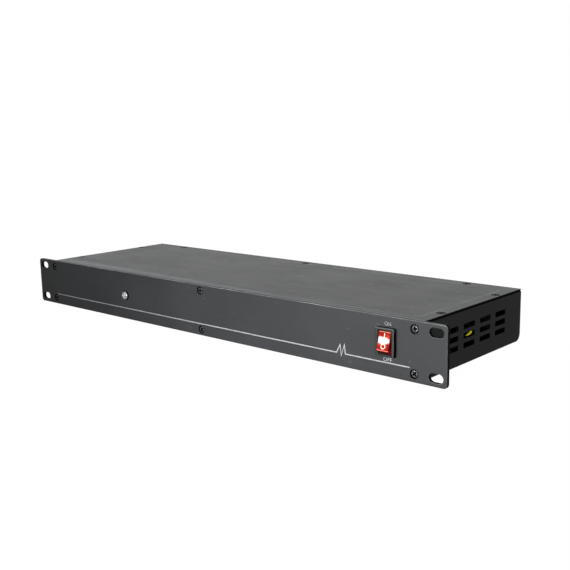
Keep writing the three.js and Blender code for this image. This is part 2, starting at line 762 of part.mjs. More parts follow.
// Inlet body about its flange's middle, with y = 0 on the rear panel's outer face
function powerInlet() {
  const outline = roundedRectangle(inletFlangeWidth, inletFlangeHeight, inletCornerRadius, cornerSteps);
  const flange = plateAlongY(outline, 0, inletFlangeThickness);
  const body = block(
    [-inletBodyWidth / 2, -inletBodyDepth, -inletBodyHeight / 2],
    [inletBodyWidth / 2, inletFlangeThickness / 2, inletBodyHeight / 2]);
  const floor = inletFlangeThickness - inletRecessDepth;
  const recess = plateAlongY(recessOutline(), floor, inletFlangeThickness + overrun);
  const slots = bladePlaces().map(([, x, z]) => (
    bladeBlock(x, z, slipFit, -inletBodyDepth - overrun, floor + overrun)));
  const halfWidth = drawerWidth / 2 + runningFit;
  const halfHeight = drawerHeight / 2 + runningFit;
  const back = inletFlangeThickness + drawerProud - drawerDepth - runningFit;
  const drawerBay = block(
    [-halfWidth, back, drawerMiddle - halfHeight],
    [halfWidth, inletFlangeThickness + overrun, drawerMiddle + halfHeight]);
  return cutBy(joined([flange, body]), [recess, ...slots, drawerBay]);
}

// A blade from behind the body to its tip in the recess
function inletBlade(x, z) {
  const tip = inletFlangeThickness - inletRecessDepth + bladeFrontLength;
  return bladeBlock(x, z, 0, -inletBodyDepth - bladeTail, tip);
}

// Fuse drawer with an open trough for the fuse and a notch to pull it by
function fuseDrawer() {
  const face = inletFlangeThickness + drawerProud;
  const body = block(
    [-drawerWidth / 2, face - drawerDepth, drawerMiddle - drawerHeight / 2],
    [drawerWidth / 2, face, drawerMiddle + drawerHeight / 2]);
  const middle = face - drawerFaceThickness - fuseSetback - fuseRadius;
  const room = fuseRadius + runningFit;
  const top = drawerMiddle + drawerHeight / 2;
  const trough = block(
    [-fuseLength / 2 - runningFit, middle - room, drawerMiddle - room],
    [fuseLength / 2 + runningFit, middle + room, top + overrun]);
  const grip = block(
    [-drawerGripWidth / 2, face - drawerFaceThickness / 2, top - drawerGripHeight],
    [drawerGripWidth / 2, face + overrun, top + overrun]);
  return cutBy(body, [trough, grip]);
}

function fuse() {
  const face = inletFlangeThickness + drawerProud;
  const middle = face - drawerFaceThickness - fuseSetback - fuseRadius;
  return rodAlongX(fuseRadius, -fuseLength / 2, fuseLength / 2, middle, drawerMiddle, smallCircleSides);
}

// Signal board with one driver chip in front of each connector
function mainBoard() {
  const board = block(
    [mainBoardLeft, mainBoardFront, boardUnderside],
    [mainBoardRight, mainBoardBack, boardTop]);
  const chips = Array.from({ length: outputCount + 2 }, (_, i) => block(
    [connectorX(i) - driverChipLength / 2, mainBoardFront + driverChipSetback, boardTop - boardThickness / 2],
    [
      connectorX(i) + driverChipLength / 2,
      mainBoardFront + driverChipSetback + driverChipWidth,
      boardTop + driverChipHeight,
    ]));
  return joined([board, ...chips]);
}

function powerBoard() {
  return block(
    [powerBoardLeft, powerBoardFront, boardUnderside],
    [powerBoardRight, powerBoardBack, boardTop]);
}

// Reservoir capacitor and heatsink, one at each end of the supply board
function capacitor() {
  const y = (powerBoardFront + powerBoardBack) / 2;
  const top = boardTop + capacitorHeight;
  return rodAlongZ(capacitorRadius, capacitorRadius, boardTop, top, capacitorX, y, bigCircleSides);
}

function heatsink() {
  const y = (powerBoardFront + powerBoardBack) / 2;
  const right = powerBoardRight - heatsinkInset;
  const foot = right - heatsinkFoot;
  const upright = block(
    [right - heatsinkThickness, y - heatsinkLength / 2, boardTop],
    [right, y + heatsinkLength / 2, boardTop + heatsinkHeight]);
  const base = block(
    [foot, y - heatsinkLength / 2, boardTop],
    [right, y + heatsinkLength / 2, boardTop + heatsinkThickness]);
  return upright.add(base);
}

// Ferrite core with its winding proud of it at the front and back
function transformer() {
  const x = transformerX;
  const y = (powerBoardFront + powerBoardBack) / 2;
  const core = block(
    [x - coreWidth / 2, y - coreDepth / 2, boardTop],
    [x + coreWidth / 2, y + coreDepth / 2, boardTop + coreHeight]);
  const leg = coreWidth * coreLegShare;
  const winding = block(
    [x - coreWidth / 2 + leg, y - coreDepth / 2 - windingProud, boardTop],
    [x + coreWidth / 2 - leg, y + coreDepth / 2 + windingProud, boardTop + coreHeight - windingProud]);
  return core.add(winding);
}

function earthStud() {
  const nut = plateAlongZ(hexagon(studNutFlats), floorTop, floorTop + studNutHeight);
  return nut.add(rodAlongZ(studRadius, studRadius, floorTop, floorTop + studHeight, 0, 0, smallCircleSides));
}

// A wire through the points of its route
function wire(route) {
  const points = route.map((point) => new THREE.Vector3(...point));
  const path = new THREE.CatmullRomCurve3(points, false, 'centripetal');
  const section = new THREE.Shape(arc(0, 0, wireRadius, 0, 360, wireSides).slice(0, wireSides));
  return solid(new THREE.ExtrudeGeometry(section, { steps: wireSteps, extrudePath: path }));
}

// Where a blade's tail ends inside the case
function bladeTailEnd(name) {
  const [, x, z] = bladePlaces().find(([blade]) => blade === name);
  return [inletX + x, caseRear - inletBodyDepth - bladeTail, inletZ + z];
}

// Where a switch terminal ends inside the case; level is -1, 0 or 1 from the lowest
function terminalEnd(level) {
  return [switchX, switchBodyDepth + terminalLength, switchZ + level * terminalPitch];
}

// A point by its shares of the way from one place to another along X, Y and Z
function between(start, end, shares) {
  return shares.map((share, axis) => start[axis] + share * (end[axis] - start[axis]));
}

// Along the right side, in front of the vents, down to the stud
function earthWireRoute() {
  const [x, y, z] = bladeTailEnd('inlet_pin_earth');
  const beside = [studX, y - 5 * wireStub, z - 2.4 * wireStub];
  const end = [studX, studY + studNutFlats / 2 + studWireGap, floorTop + wireRadius + studWireGap];
  const routeShares = [[1, 0.21, 0.2], [1, 0.53, 0.5], [1, 0.78, 0.72]];
  return [
    [x, y - runningFit, z], [x, y - wireStub, z], [x + wireStub - wireFloorGap, y - 2 * wireStub, z],
    between([x, y, z], beside, [0.75, 0.54, 0.69]), beside,
    ...routeShares.map((shares) => between(beside, end, shares)), end,
  ];
}

// From a blade's tail down to the floor, forward in its own lane and up to a switch terminal
function switchWireRoute(blade, level, lane) {
  const [x, y, z] = bladeTailEnd(blade);
  const [endX, endY, endZ] = terminalEnd(level);
  const dropped = [x, y, floorTop + wireRadius + wireFloorGap];
  const under = [endX - lane, endY, floorTop + wireRadius + wireFloorGap];
  const laneShares = [[0.8, 0.24, 0], [1, 0.42, 0], [1, 0.69, 0]];
  return [
    [x, y - runningFit, z], [x, y - wireStub, z], [x, y - 2 * wireStub, z - wireStub],
    between(dropped, [under[0], endY, z], [0.2, 0.12, 0.2]),
    ...laneShares.map((shares) => between(dropped, under, shares)),
    between([under[0], y, under[2]], [endX, endY, endZ], [0.5, 0.84, 0.28]),
    [endX, endY + 2 * wireStub, endZ - wireRadius], [endX, endY + wireStub, endZ],
    [endX, endY + runningFit, endZ],
  ];
}

// From behind the status lamp to the front edge of the signal board
function ledLeadRoute() {
  const lamp = [ledX, ledShankLength + ledRimThickness, ledZ];
  const edge = [ledX + ledLeadShift, mainBoardFront, boardTop + wireRadius + runningFit];
  const routeShares = [[0.25, 0.14, 0.27], [0.75, 0.48, 0.83], [1, 0.86, 0.85]];
  return [
    [lamp[0], lamp[1] + runningFit, lamp[2]], [lamp[0], lamp[1] + wireStub, lamp[2]],
    ...routeShares.map((shares) => between(lamp, edge, shares)),
    [edge[0], edge[1] + leadOverlap / 3, edge[2]], [edge[0], edge[1] + leadOverlap, edge[2]],
  ];
}

// From the supply board back to the signal board
function supplyLeadRoute() {
  const x = powerBoardLeft + supplyLeadInset;
  const z = boardTop + wireRadius + runningFit;
  return [
    [x, powerBoardBack - leadOverlap, z], [x, powerBoardBack - leadOverlap / 3, z],
    [x, (powerBoardBack + mainBoardFront) / 2, z + supplyLeadHump],
    [x, mainBoardFront + leadOverlap / 3, z], [x, mainBoardFront + leadOverlap, z],
  ];
}

const splitter = new THREE.Group();

function place(parent, name, body, finish, position = [0, 0, 0], tilt = 0) {
  const mesh = new THREE.Mesh(geometryOf(body), new THREE.MeshStandardMaterial(finishes[finish]));
  mesh.name = name;
  mesh.position.set(...position);
  mesh.rotation.x = tilt;
  parent.add(mesh);
  return mesh;
}

function groupAt(x, y, z) {
  const group = new THREE.Group();
  group.position.set(x, y, z);
  splitter.add(group);
  return group;
}

place(splitter, 'front_panel', frontPanel(), 'anodisedPanel');
place(splitter, 'chassis_base', chassisBase(), 'blackPowderCoat');
place(splitter, 'side_panel_left', sidePanel(-1), 'blackPowderCoat');
place(splitter, 'side_panel_right', sidePanel(1), 'blackPowderCoat');
place(splitter, 'rear_panel', rearPanel(), 'blackPowderCoat');
place(splitter, 'top_cover', topCover(), 'blackPowderCoat');

panelScrewPlaces().forEach(([x, z], i) => {
  const screw = countersunkScrew(panelScrewHeadDepth, panelScrewLength, panelScrewCrossDepth);
  place(splitter, `panel_screw_${i + 1}`, screw, 'blackZinc', [x, panelScrewSink, z]);
});
coverScrewPlaces().forEach(([x, y], i) => {
  const screw = countersunkScrew(coverScrewHeadDepth, coverScrewLength, coverScrewCrossDepth);
  place(splitter, `cover_screw_${i + 1}`, screw, 'blackZinc', [x, y, caseTop], -Math.PI / 2);
});

const switchGroup = groupAt(switchX, 0, switchZ);
place(switchGroup, 'switch_housing', switchHousing(), 'blackNylon');
const restTilt = -radians(rockerRestAngle);
place(switchGroup, 'switch_rocker', switchRocker(), 'redClear', [0, rockerPivotDepth, 0], restTilt);

const ledGroup = groupAt(ledX, 0, ledZ);
place(ledGroup, 'led_holder', ledHolder(), 'nickel');
place(ledGroup, 'led_lens', ledLens(), 'clearLens');
place(ledGroup, 'led_nut', ledNut(), 'nickel');

const inputGroup = groupAt(connectorX(0), caseRear, connectorHeight);
place(inputGroup, 'dmx_input', maleConnector(), 'blackNylon');
const throughGroup = groupAt(connectorX(1), caseRear, connectorHeight);
place(throughGroup, 'dmx_thru', femaleConnector(), 'blackNylon');
place(throughGroup, 'latch_thru', latch(), 'nickel');
for (let output = 1; output <= outputCount; output += 1) {
  const group = groupAt(connectorX(output + 1), caseRear, connectorHeight);
  place(group, `dmx_output_${output}`, femaleConnector(), 'blackNylon');
  place(group, `latch_output_${output}`, latch(), 'nickel');
}

const inletGroup = groupAt(inletX, caseRear, inletZ);
place(inletGroup, 'power_inlet', powerInlet(), 'blackNylon');
bladePlaces().forEach(([name, x, z]) => place(inletGroup, name, inletBlade(x, z), 'tinPlate'));
place(inletGroup, 'fuse_drawer', fuseDrawer(), 'blackNylon');
place(inletGroup, 'fuse', fuse(), 'glassTube');

place(splitter, 'main_board', mainBoard(), 'boardGreen');
place(splitter, 'power_board', powerBoard(), 'boardGreen');
place(splitter, 'transformer', transformer(), 'ferrite');
place(splitter, 'capacitor', capacitor(), 'blackNylon');
place(splitter, 'heatsink', heatsink(), 'bareAluminium');
place(splitter, 'earth_stud', earthStud(), 'tinPlate', [studX, studY, 0]);
place(splitter, 'earth_wire', wire(earthWireRoute()), 'earthSleeve');
place(splitter, 'line_wire', wire(switchWireRoute('inlet_pin_line', 1, lineLane)), 'brownSleeve');
place(splitter, 'neutral_wire', wire(switchWireRoute('inlet_pin_neutral', -1, neutralLane)), 'blueSleeve');
place(splitter, 'led_lead', wire(ledLeadRoute()), 'redSleeve');
place(splitter, 'supply_lead', wire(supplyLeadRoute()), 'redSleeve');

// The origin is the middle of the underside of the whole
splitter.updateMatrixWorld(true);
const extent = new THREE.Box3().setFromObject(splitter, true);
splitter.position.y = -(extent.min.y + extent.max.y) / 2;

export default splitter;
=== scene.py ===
# Looks of a rack-mounted DMX splitter, one unit high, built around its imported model.
# Shapes are made in millimetres from the middle of the panel's front lower edge, with x to the right,
# y to the rear and z up, and are then put into the row frame in metres.
import math

import bmesh
import bpy
from mathutils import Matrix, Vector


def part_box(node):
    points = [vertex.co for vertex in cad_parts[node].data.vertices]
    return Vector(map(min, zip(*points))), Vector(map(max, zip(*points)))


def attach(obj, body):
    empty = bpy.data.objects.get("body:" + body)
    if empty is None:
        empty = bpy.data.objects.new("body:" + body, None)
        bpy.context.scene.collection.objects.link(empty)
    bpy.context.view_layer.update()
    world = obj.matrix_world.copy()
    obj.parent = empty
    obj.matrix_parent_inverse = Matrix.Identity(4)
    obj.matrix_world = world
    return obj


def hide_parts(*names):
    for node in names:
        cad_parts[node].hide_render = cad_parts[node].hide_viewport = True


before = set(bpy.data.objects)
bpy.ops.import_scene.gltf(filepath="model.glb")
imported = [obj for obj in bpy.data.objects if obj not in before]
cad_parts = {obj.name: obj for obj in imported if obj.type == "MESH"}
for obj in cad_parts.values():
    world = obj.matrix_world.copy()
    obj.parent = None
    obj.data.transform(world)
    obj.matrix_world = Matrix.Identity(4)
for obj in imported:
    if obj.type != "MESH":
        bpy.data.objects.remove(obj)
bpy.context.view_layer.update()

MM = 0.001
PANEL_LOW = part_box("front_panel")[0]
TO_ROW = Matrix.Translation((0, PANEL_LOW.y, PANEL_LOW.z)) @ Matrix.Scale(MM, 4)

# Photographed view: the camera's place from the middle of the panel's front lower edge, and its turns in
# radians
PHOTO_PIXELS = 570
FOCAL_PIXELS = 867.5792
CAMERA_PLACE = Vector((534.7574, -485.1625, 182.2241))
CAMERA_YAW = 0.7341
CAMERA_PITCH = 0.1923
CAMERA_ROLL = -0.0195

# Sheet metal
SHEET = 1.2
BEND = 1.6
REAR_BEND = 6.0
SIDE_FLANGE = 10.5
REAR_FLANGE = 14.5
REAR_FOOT = 12.0
FLANGE_END_GAP = 10.8

# Gap all round between a body and the hole that it stands in
FIT = 0.15

# The flanges' outline as it shows on the cover, painted as a lighter line: a painted highlight. Its inset at
# the front and elsewhere, its corner and width
MARK_FRONT_INSET = 8.0
MARK_INSET = 10.3
MARK_CORNER = 9.0
MARK_WIDTH = 0.45

# Front panel
PANEL_CORNER = 3.0
PANEL_EDGE = 0.35
SLOT_SIZE = (11.5, 6.8)
SLOT_INSET = 8.75
SLOT_SPACING = 31.75
SINK_RADIUS = 3.5
HOLE_RADIUS = 1.65

# Ventilation slots
VENT_SIZE = (16.0, 4.2)
VENT_CORNER = 1.1
VENT_COLUMNS = 4
VENT_ROWS = 3
VENT_PITCH = (23.4, 7.2)
VENT_FIRST = (41.6, 14.9)

# Screws
HEAD_RADIUS = 2.8
SHANK_RADIUS = 1.5
PANEL_HEAD_DEPTH = 1.3
COVER_HEAD_DEPTH = 1.0
COVER_SINK_DEPTH = 1.1
COVER_SINK_RADIUS = 3.4
HEAD_RIM = 0.45
CROSS_LENGTH = 4.0
CROSS_WIDTH = 1.45
CROSS_DEPTH = 1.0
COVER_CROSS_DEPTH = 0.7
PANEL_SCREW_LENGTH = 8.5
COVER_SCREW_LENGTH = 5.0
FLANGE_SCREW_LENGTH = 6.0

# Rocker switch
BEZEL_SIZE = (16.4, 21.0)
BEZEL_CORNER = 1.0
BEZEL_PROUD = 3.2
BEZEL_FUNNEL = (1.1, 0.8)
SWITCH_BODY = (13.0, 18.8)
SWITCH_BODY_DEPTH = 14.0
SWITCH_POCKET = (10.9, 16.2)
SWITCH_POCKET_DEPTH = 7.0
TERMINAL_SIZE = (4.8, 7.0)
TERMINAL_SPACING = 6.0
ROCKER_WIDTH = 10.3
ROCKER_RADIUS = 7.8
ROCKER_PIVOT_DEPTH = 0.5
ROCKER_FACE_END = 55.0
ROCKER_FACE_TILT = 4.0
ROCKER_REST_TILT = 14.0
ROCKER_BACK = (3.0, 4.0)
ROCKER_EDGE = 0.35
TRUNNION_RADIUS = 1.2
TRUNNION_LENGTH = 0.7
BAR_SIZE = (0.6, 3.2)
BAR_PLACE = 4.0
RING_RADII = (1.9, 1.42)
RING_PLACE = 3.65
HOT_MIDDLE = (-1.4, 1.5)
HOT_HALF = (6.9, 2.6)

# Status lamp
LENS_RADIUS = 2.45
LENS_SHOULDER = 1.0
LENS_DOME = 1.9
LENS_FLANGE = 2.9
HOLDER_RADIUS = 3.8
HOLDER_PROUD = 1.5
HOLDER_ROUND = 0.55
HOLDER_SHANK = (3.1, 7.5)
LEAD_SPACING = 1.27
LEAD_HALF = 0.25
LAMP_NUT_HALF = 4.0

# Round connectors
FLANGE_SIZE = (26.0, 31.0)
FLANGE_CORNER = 3.0
FLANGE_THICKNESS = 2.2
SHELL_RADIUS = 11.8
SHELL_DEPTH = 20.0
SOCKET_RADIUS = 9.6
SOCKET_DEPTH = 13.0
INSERT_RADIUS = 7.7
INSERT_RECESS = 1.0
CONTACT_CIRCLE = 4.3
CONTACT_ANGLES = (20.0, 160.0, 270.0)
CONTACT_HOLE = 1.3
CONTACT_DEPTH = 9.0
TUBE_RADII = (0.85, 1.28)
PIN_RADIUS = 1.2
PIN_LENGTH = 11.5
FLANGE_SCREW = (9.5, 12.0)
LATCH_SLOT = (7.0, 11.0)
LATCH_THICKNESS = 2.6
LATCH_STEM = (6.4, 1.1)
LATCH_RIB = 0.25
RIB_PITCH = 0.62

# Mains inlet
INLET_FLANGE = (30.6, 33.4, 2.4)
INLET_BODY = (27.0, 30.6, 23.0)
RECESS_SIZE = (24.4, 16.6, 17.0)
RECESS_CHAMFER = 4.5
RECESS_CORNER = 1.2
RECESS_BOTTOM = 1.9
DRAWER_SIZE = (24.6, 8.0, 15.0)
DRAWER_MIDDLE = 9.5
DRAWER_PROUD = 0.6
FUSE_CAP = 5.0

# Boards
BOARD_THICKNESS = 1.6
PILLAR_HOLE = 1.6
MAIN_PILLAR_INSET = 6.0
SUPPLY_PILLAR_INSET = 5.0
CHIP_FRONT = 25.75
CHIP_HALF = (5.0, 3.75)
LEG_PITCH = 1.27
CONTACT_PINS_AT = 130.0

# Parts beside the boards
LIMB_PLACE = 10.6
LIMB_HALF = 3.4
YOKE_HALF = 12.0
YOKE_HEIGHT = 3.0
WINDING_HALF = 6.7
HEATSINK_PLATE = 2.0
FIN_HALF = (2.7, 0.45)
FIN_PITCH = 5.0
STUD_RADIUS = 2.0
THREAD_ROOT = 1.75
THREAD_PITCH = 0.4
NUT_HALF = 3.5
NUT_HEIGHT = 3.2

# Wires
WIRE_RADIUS = 1.2
WIRE_STUB = 3.0
WIRE_FIT = 0.3
# Black sleeves, this much thicker than the wires, darken them where they lie in shade inside the case: painted
# shade. Then the shares of each wire's length that they cover
SHADE_SLEEVE_WALL = 0.25
EARTH_SHADE_SPANS = ((0.0, 0.49), (0.64, 1.0))
MAINS_SHADE_SPANS = ((0.08, 0.9),)

# Print: the stripe along the panel with its pulse, and the words' width, height and place beside the switch
STRIPE_LEVEL = 10.2
STRIPE_WIDTH = 0.85
STRIPE_ENDS = (-212.6, 211.5)
PULSE = ((147.0, 0.0), (150.4, 6.4), (151.4, -1.8), (154.4, 7.0), (155.2, 0.0))
PRINT_RELIEF = 0.04
SWITCH_WORDS = (("ON", 5.3, 13.2), ("OFF", 7.4, -12.8))
WORD_HEIGHT = 2.8
WORD_SHIFT = 0.9
NUMBER_SIZE = (2.4, 3.4)
NUMBER_SHIFT = (3.2, -3.0)

# Light of the studio: the world's fill on matt surfaces, and what gloss sees of the world and of the floor
WORLD_FILL = 0.12
WORLD_GLOSS = 0.46
FLOOR_GLOSS = 0.35
FLOOR_WHITE = 1.04

OUTPUTS = range(1, 9)
CONNECTORS = ["dmx_input", "dmx_thru"] + [f"dmx_output_{i}" for i in OUTPUTS]
LATCHES = ["latch_thru"] + [f"latch_output_{i}" for i in OUTPUTS]
PANEL_SCREWS = [f"panel_screw_{i}" for i in range(1, 7)]
COVER_SCREWS = [f"cover_screw_{i}" for i in range(1, 8)]


def extent(node):
    """Lowest corner, highest corner and middle of a CAD node, in the shapes' own millimetres."""
    low, high = (TO_ROW.inverted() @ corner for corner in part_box(node))
    return low, high, (low + high) / 2


def middle(node):
    return extent(node)[2]


def in_row(x=0.0, y=0.0, z=0.0):
    return TO_ROW @ Vector((x, y, z))


# Colours and nodes

def linear(colour):
    """An sRGB hex colour as linear red, green, blue and alpha."""
    channels = [int(colour[i:i + 2], 16) / 255 for i in (1, 3, 5)]
    return [c / 12.92 if c <= 0.04045 else ((c + 0.055) / 1.055) ** 2.4 for c in channels] + [1.0]


def add(tree, kind, inputs=None, **settings):
    """Adds a node. Each input is named or numbered, and is a value, a hex colour or another node's output."""
    made = tree.nodes.new(kind)
    for name, value in settings.items():
        setattr(made, name, value)
    for key, value in (inputs or {}).items():
        if isinstance(value, bpy.types.NodeSocket):
            tree.links.new(value, made.inputs[key])
        else:
            is_colour = isinstance(value, str) and value.startswith("#")
            made.inputs[key].default_value = linear(value) if is_colour else value
    return made


def cleared(owner):
    """The empty node tree of a world or a material."""
    owner.use_nodes = True
    owner.node_tree.nodes.clear()
    return owner.node_tree


# Short names of the shader's sockets
SOCKETS = {"specular": "Specular IOR Level", "ior": "IOR", "metallic": "Metallic", "coat": "Coat Weight",
           "coat_roughness": "Coat Roughness", "clear": "Transmission Weight", "glow": "Emission Color",
           "power": "Emission Strength"}


class Surface:
    """A material in the making. Its colour drifts between two tones in patches of blotch millimetres. A grain
    moves its roughness by spread and its face by relief millimetres."""

    def __init__(self, name, colour, second, blotch, grain, relief, roughness, spread, **sockets):
        self.material = bpy.data.materials.new(name)
        self.tree = cleared(self.material)
        self.place = self.node("ShaderNodeTexCoord").outputs["Object"]
        grains = self.noise(grain, 3.0)
        self.roughness = self.ramp(grains, 0.25, 0.75, roughness - spread, roughness + spread)
        self.bump = self.node("ShaderNodeBump", {"Height": grains, "Distance": relief * MM}).outputs[0]
        self.colour = self.mix(self.patches(blotch, 0.3, 0.7), colour, second)
        self.sockets = sockets

    def node(self, kind, inputs=None, **settings):
        return add(self.tree, kind, inputs, **settings)

    def noise(self, size, detail=2.0, stretch=(1.0, 1.0, 1.0)):
        """Noise whose patches are size millimetres wide, longer by stretch along each axis."""
        placed = self.node("ShaderNodeMapping", {
            "Vector": self.place, "Scale": [1 / (size * MM * s) for s in stretch]})
        return self.node("ShaderNodeTexNoise", {
            "Vector": placed.outputs[0], "Scale": 1.0, "Detail": detail}).outputs[0]

    def ramp(self, value, low, high, start=0.0, end=1.0):
        """start below low, end above high, and smooth between them."""
        return self.node("ShaderNodeMapRange", {0: value, 1: low, 2: high, 3: start, 4: end},
                         interpolation_type="SMOOTHSTEP").outputs[0]

    def patches(self, size, low, high, detail=2.0, stretch=(1.0, 1.0, 1.0), start=0.0, end=1.0):
        """A ramp over noise."""
        return self.ramp(self.noise(size, detail, stretch), low, high, start, end)

    def specks(self, size, share, mask=1.0):
        """1 on round specks, one in each cell of size millimetres, over that share of the cell's width."""
        placed = self.node("ShaderNodeMapping", {"Vector": self.place, "Scale": [1 / (size * MM)] * 3})
        cells = self.node("ShaderNodeTexVoronoi", {"Vector": placed.outputs[0], "Scale": 1.0})
        spots = self.ramp(cells.outputs["Distance"], share * 0.6, share, 1.0, 0.0)
        chance = self.node("ShaderNodeSeparateColor", {0: cells.outputs["Color"]}).outputs[0]
        return self.math("MULTIPLY", self.math("MULTIPLY", spots, self.ramp(chance, 0.55, 0.6)), mask)

    def math(self, operation, first, second=0.0):
        return self.node("ShaderNodeMath", {0: first, 1: second}, operation=operation).outputs[0]

    def vector(self, operation, first, second=(0.0, 0.0, 0.0)):
        made = self.node("ShaderNodeVectorMath", {0: first, 1: second}, operation=operation)
        return made.outputs["Value" if operation == "LENGTH" else 0]

    def axis(self, name, value):
        return self.node("ShaderNodeSeparateXYZ", {0: value}).outputs[name]

    def mix(self, mask, under, over):
        return self.node("ShaderNodeMix", {0: mask, 6: under, 7: over}, data_type="RGBA").outputs[2]

    def paint(self, mask, colour, share):
        """Covers that share of the colour so far where the mask is 1."""
        self.colour = self.mix(self.math("MULTIPLY", mask, share), self.colour, colour)

    def done(self, *layers):
        """Paints (mask, colour, share) layers, and gives the finished material."""
        for layer in layers:
            self.paint(*layer)
        shader = self.node("ShaderNodeBsdfPrincipled", {
            "Base Color": self.colour, "Roughness": self.roughness, "Normal": self.bump,
            **{SOCKETS[name]: value for name, value in self.sockets.items()}})
        self.node("ShaderNodeOutputMaterial", {"Surface": shader.outputs[0]})
        return self.material


def coat(name, colour, second, gloss):
    """Baked black powder coat: a slight orange peel that breaks up reflections."""
    made = Surface(name, colour, second, 55.0, 0.8, 0.018, 0.5, 0.06, specular=gloss)
    made.paint(made.specks(7.0, 0.04), "#6a6c6e", 0.4)
    return made


def cover_coat():
    """The cover's powder coat, the lit copy of the case's coat: painted lighter as painted light. It also
    shows dust, faint streaks, a painted highlight on the edge of the flanges below it, and a lighter band
    along its front with a painted highlight at the band's edge.
    """
    low, high, centre = extent("top_cover")
    made = coat("cover_coat_painted_light", "#676869", "#5c5d5e", 0.22)
    made.paint(made.patches(15.0, 0.35, 0.75, 4.0, (3.0, 1.0, 1.0)), "#717273", 0.5)
    centre = in_row(centre.x, centre.y + (MARK_FRONT_INSET - MARK_INSET) / 2)
    half = [(high.x - low.x) / 2 - MARK_INSET, (high.y - low.y - MARK_INSET - MARK_FRONT_INSET) / 2]
    flat = made.vector("MULTIPLY", made.place, (1.0, 1.0, 0.0))
    beside = made.vector("ABSOLUTE", made.vector("SUBTRACT", flat, (centre.x, centre.y, 0)))
    over = made.vector("SUBTRACT", beside, [(size - MARK_CORNER) * MM for size in half] + [0])
    outside = made.vector("LENGTH", made.vector("MAXIMUM", over))
    off_line = made.math("ABSOLUTE", made.math("SUBTRACT", outside, MARK_CORNER * MM))
    # The flanges' edge shows through as a line, painted lighter: a painted highlight
    edge = made.ramp(off_line, MARK_WIDTH * 0.4 * MM, MARK_WIDTH * 2 * MM, 1.0, 0.0)
    broken = made.patches(14.0, 0.35, 0.6, stretch=(2.0, 1.0, 1.0), start=0.25)
    front = made.math("SUBTRACT", made.axis("Y", made.place), in_row(y=low.y).y)
    reach = made.ramp(made.axis("X", made.place), -0.15, 0.21, 13.5 * MM, 2.0 * MM)
    wobble = made.patches(60.0, 0.3, 0.7, stretch=(1.0, 9.0, 1.0), start=-0.7 * MM, end=0.7 * MM)
    past = made.math("SUBTRACT", front, made.math("ADD", reach, wobble))
    band = made.ramp(past, -0.8 * MM, 0.2 * MM, 1.0, 0.0)
    # The band's rear edge is painted lighter: a painted highlight
    rim = made.ramp(made.math("ABSOLUTE", past), 0.3 * MM, 0.9 * MM, 1.0, 0.0)
    return made.done(
        (made.math("MULTIPLY", edge, broken), "#989a9c", 0.7), (band, "#848688", 0.5),
        (made.math("MULTIPLY", rim, broken), "#989a9b", 0.45),
        (made.patches(2.4, 0.66, 0.76, stretch=(7.0, 1.0, 1.0)), "#97999b", 0.75),
        (made.patches(2.4, 0.67, 0.77, stretch=(1.0, 6.0, 1.0)), "#97999b", 0.75),
        (made.specks(9.0, 0.09), "#a9abad", 0.6), (made.specks(3.1, 0.16, band), "#b9bbbc", 0.7))


def moulded(name, colour, second, roughness, grain=0.45, relief=0.006, **sockets):
    """Moulded plastic: fine spark-eroded grain and a slightly glossier skin in patches."""
    made = Surface(name, colour, second, 6.0, grain, relief, roughness, 0.07, **sockets)
    return made.done((made.specks(2.4, 0.05), "#5c5c5c", 0.3))


def lit_rocker():
    """Clear red polycarbonate with a lamp behind its middle: white-hot in an oval, orange round it, then deep
    red in streaks."""
    made = Surface("lit_red_polycarbonate", "#7c0a05", "#660704", 4.0, 0.5, 0.004, 0.16, 0.05, ior=1.58,
                   specular=0.15, coat=0.05, coat_roughness=0.08)
    centre = TO_ROW @ (middle("switch_housing") + Vector((HOT_MIDDLE[0], 0, HOT_MIDDLE[1])))
    front = in_row(y=extent("switch_rocker")[0].y).y
    off = made.vector("SUBTRACT", made.place, centre)
    oval = made.vector("MULTIPLY", off, (1 / (HOT_HALF[0] * MM), 0.0, 1 / (HOT_HALF[1] * MM)))
    ripple = made.patches(1.4, 0.3, 0.7, 1.0, (1.0, 1.0, 3.0), -0.1, 0.1)
    hot = made.ramp(made.math("ADD", made.vector("LENGTH", oval), ripple), 0.8, 1.12, 1.0, 0.0)
    away = made.math("ABSOLUTE", made.axis("Z", off))
    warm = made.mix(made.ramp(away, 2.6 * MM, 5.8 * MM), "#f65812", "#a81407")
    streaks = made.patches(1.7, 0.44, 0.56, 1.0, (1.0, 1.0, 4.0))
    warm = made.mix(made.math("MULTIPLY", streaks, 0.85), warm, "#5c0402")
    edges = made.ramp(made.math("ABSOLUTE", made.axis("X", off)),
                      ROCKER_WIDTH * 0.34 * MM, ROCKER_WIDTH * 0.62 * MM)
    warm = made.mix(made.math("MULTIPLY", edges, 0.6), warm, "#5a0302")
    shallow = made.ramp(made.axis("Y", made.place), front + 2.2 * MM, front + 5.2 * MM, 1.0, 0.12)
    made.sockets.update(glow=made.mix(shallow, "#3c0302", made.mix(hot, warm, "#ffffff")), power=1.0)
    return made.done()


def shaded_rocker():
    """The same polycarbonate on the rocker's flanks and ends, which the lamp hardly reaches: wine red."""
    made = Surface("shaded_red_polycarbonate", "#3a0403", "#2a0302", 3.0, 0.5, 0.003, 0.36, 0.04, ior=1.5,
                   specular=0.2)
    foot = in_row(z=extent("switch_rocker")[0].z).z
    near_foot = made.ramp(made.axis("Z", made.place), foot + 0.8 * MM, foot + 3.5 * MM, 1.0, 0.0)
    patch = made.patches(2.0, 0.35, 0.6, 1.0, start=0.25)
    lit = made.math("MULTIPLY", near_foot, patch)
    made.sockets.update(glow=made.mix(lit, "#380202", "#a50d10"), power=0.8)
    return made.done()


def print_ink(name, colour, second):
    """Screen-printed ink: slightly uneven cover with the weave of the screen."""
    made = Surface(name, colour, second, 3.0, 0.35, 0.006, 0.55, 0.08)
    return made.done((made.patches(0.8, 0.66, 0.72, 3.0), "#55585a", 0.5))


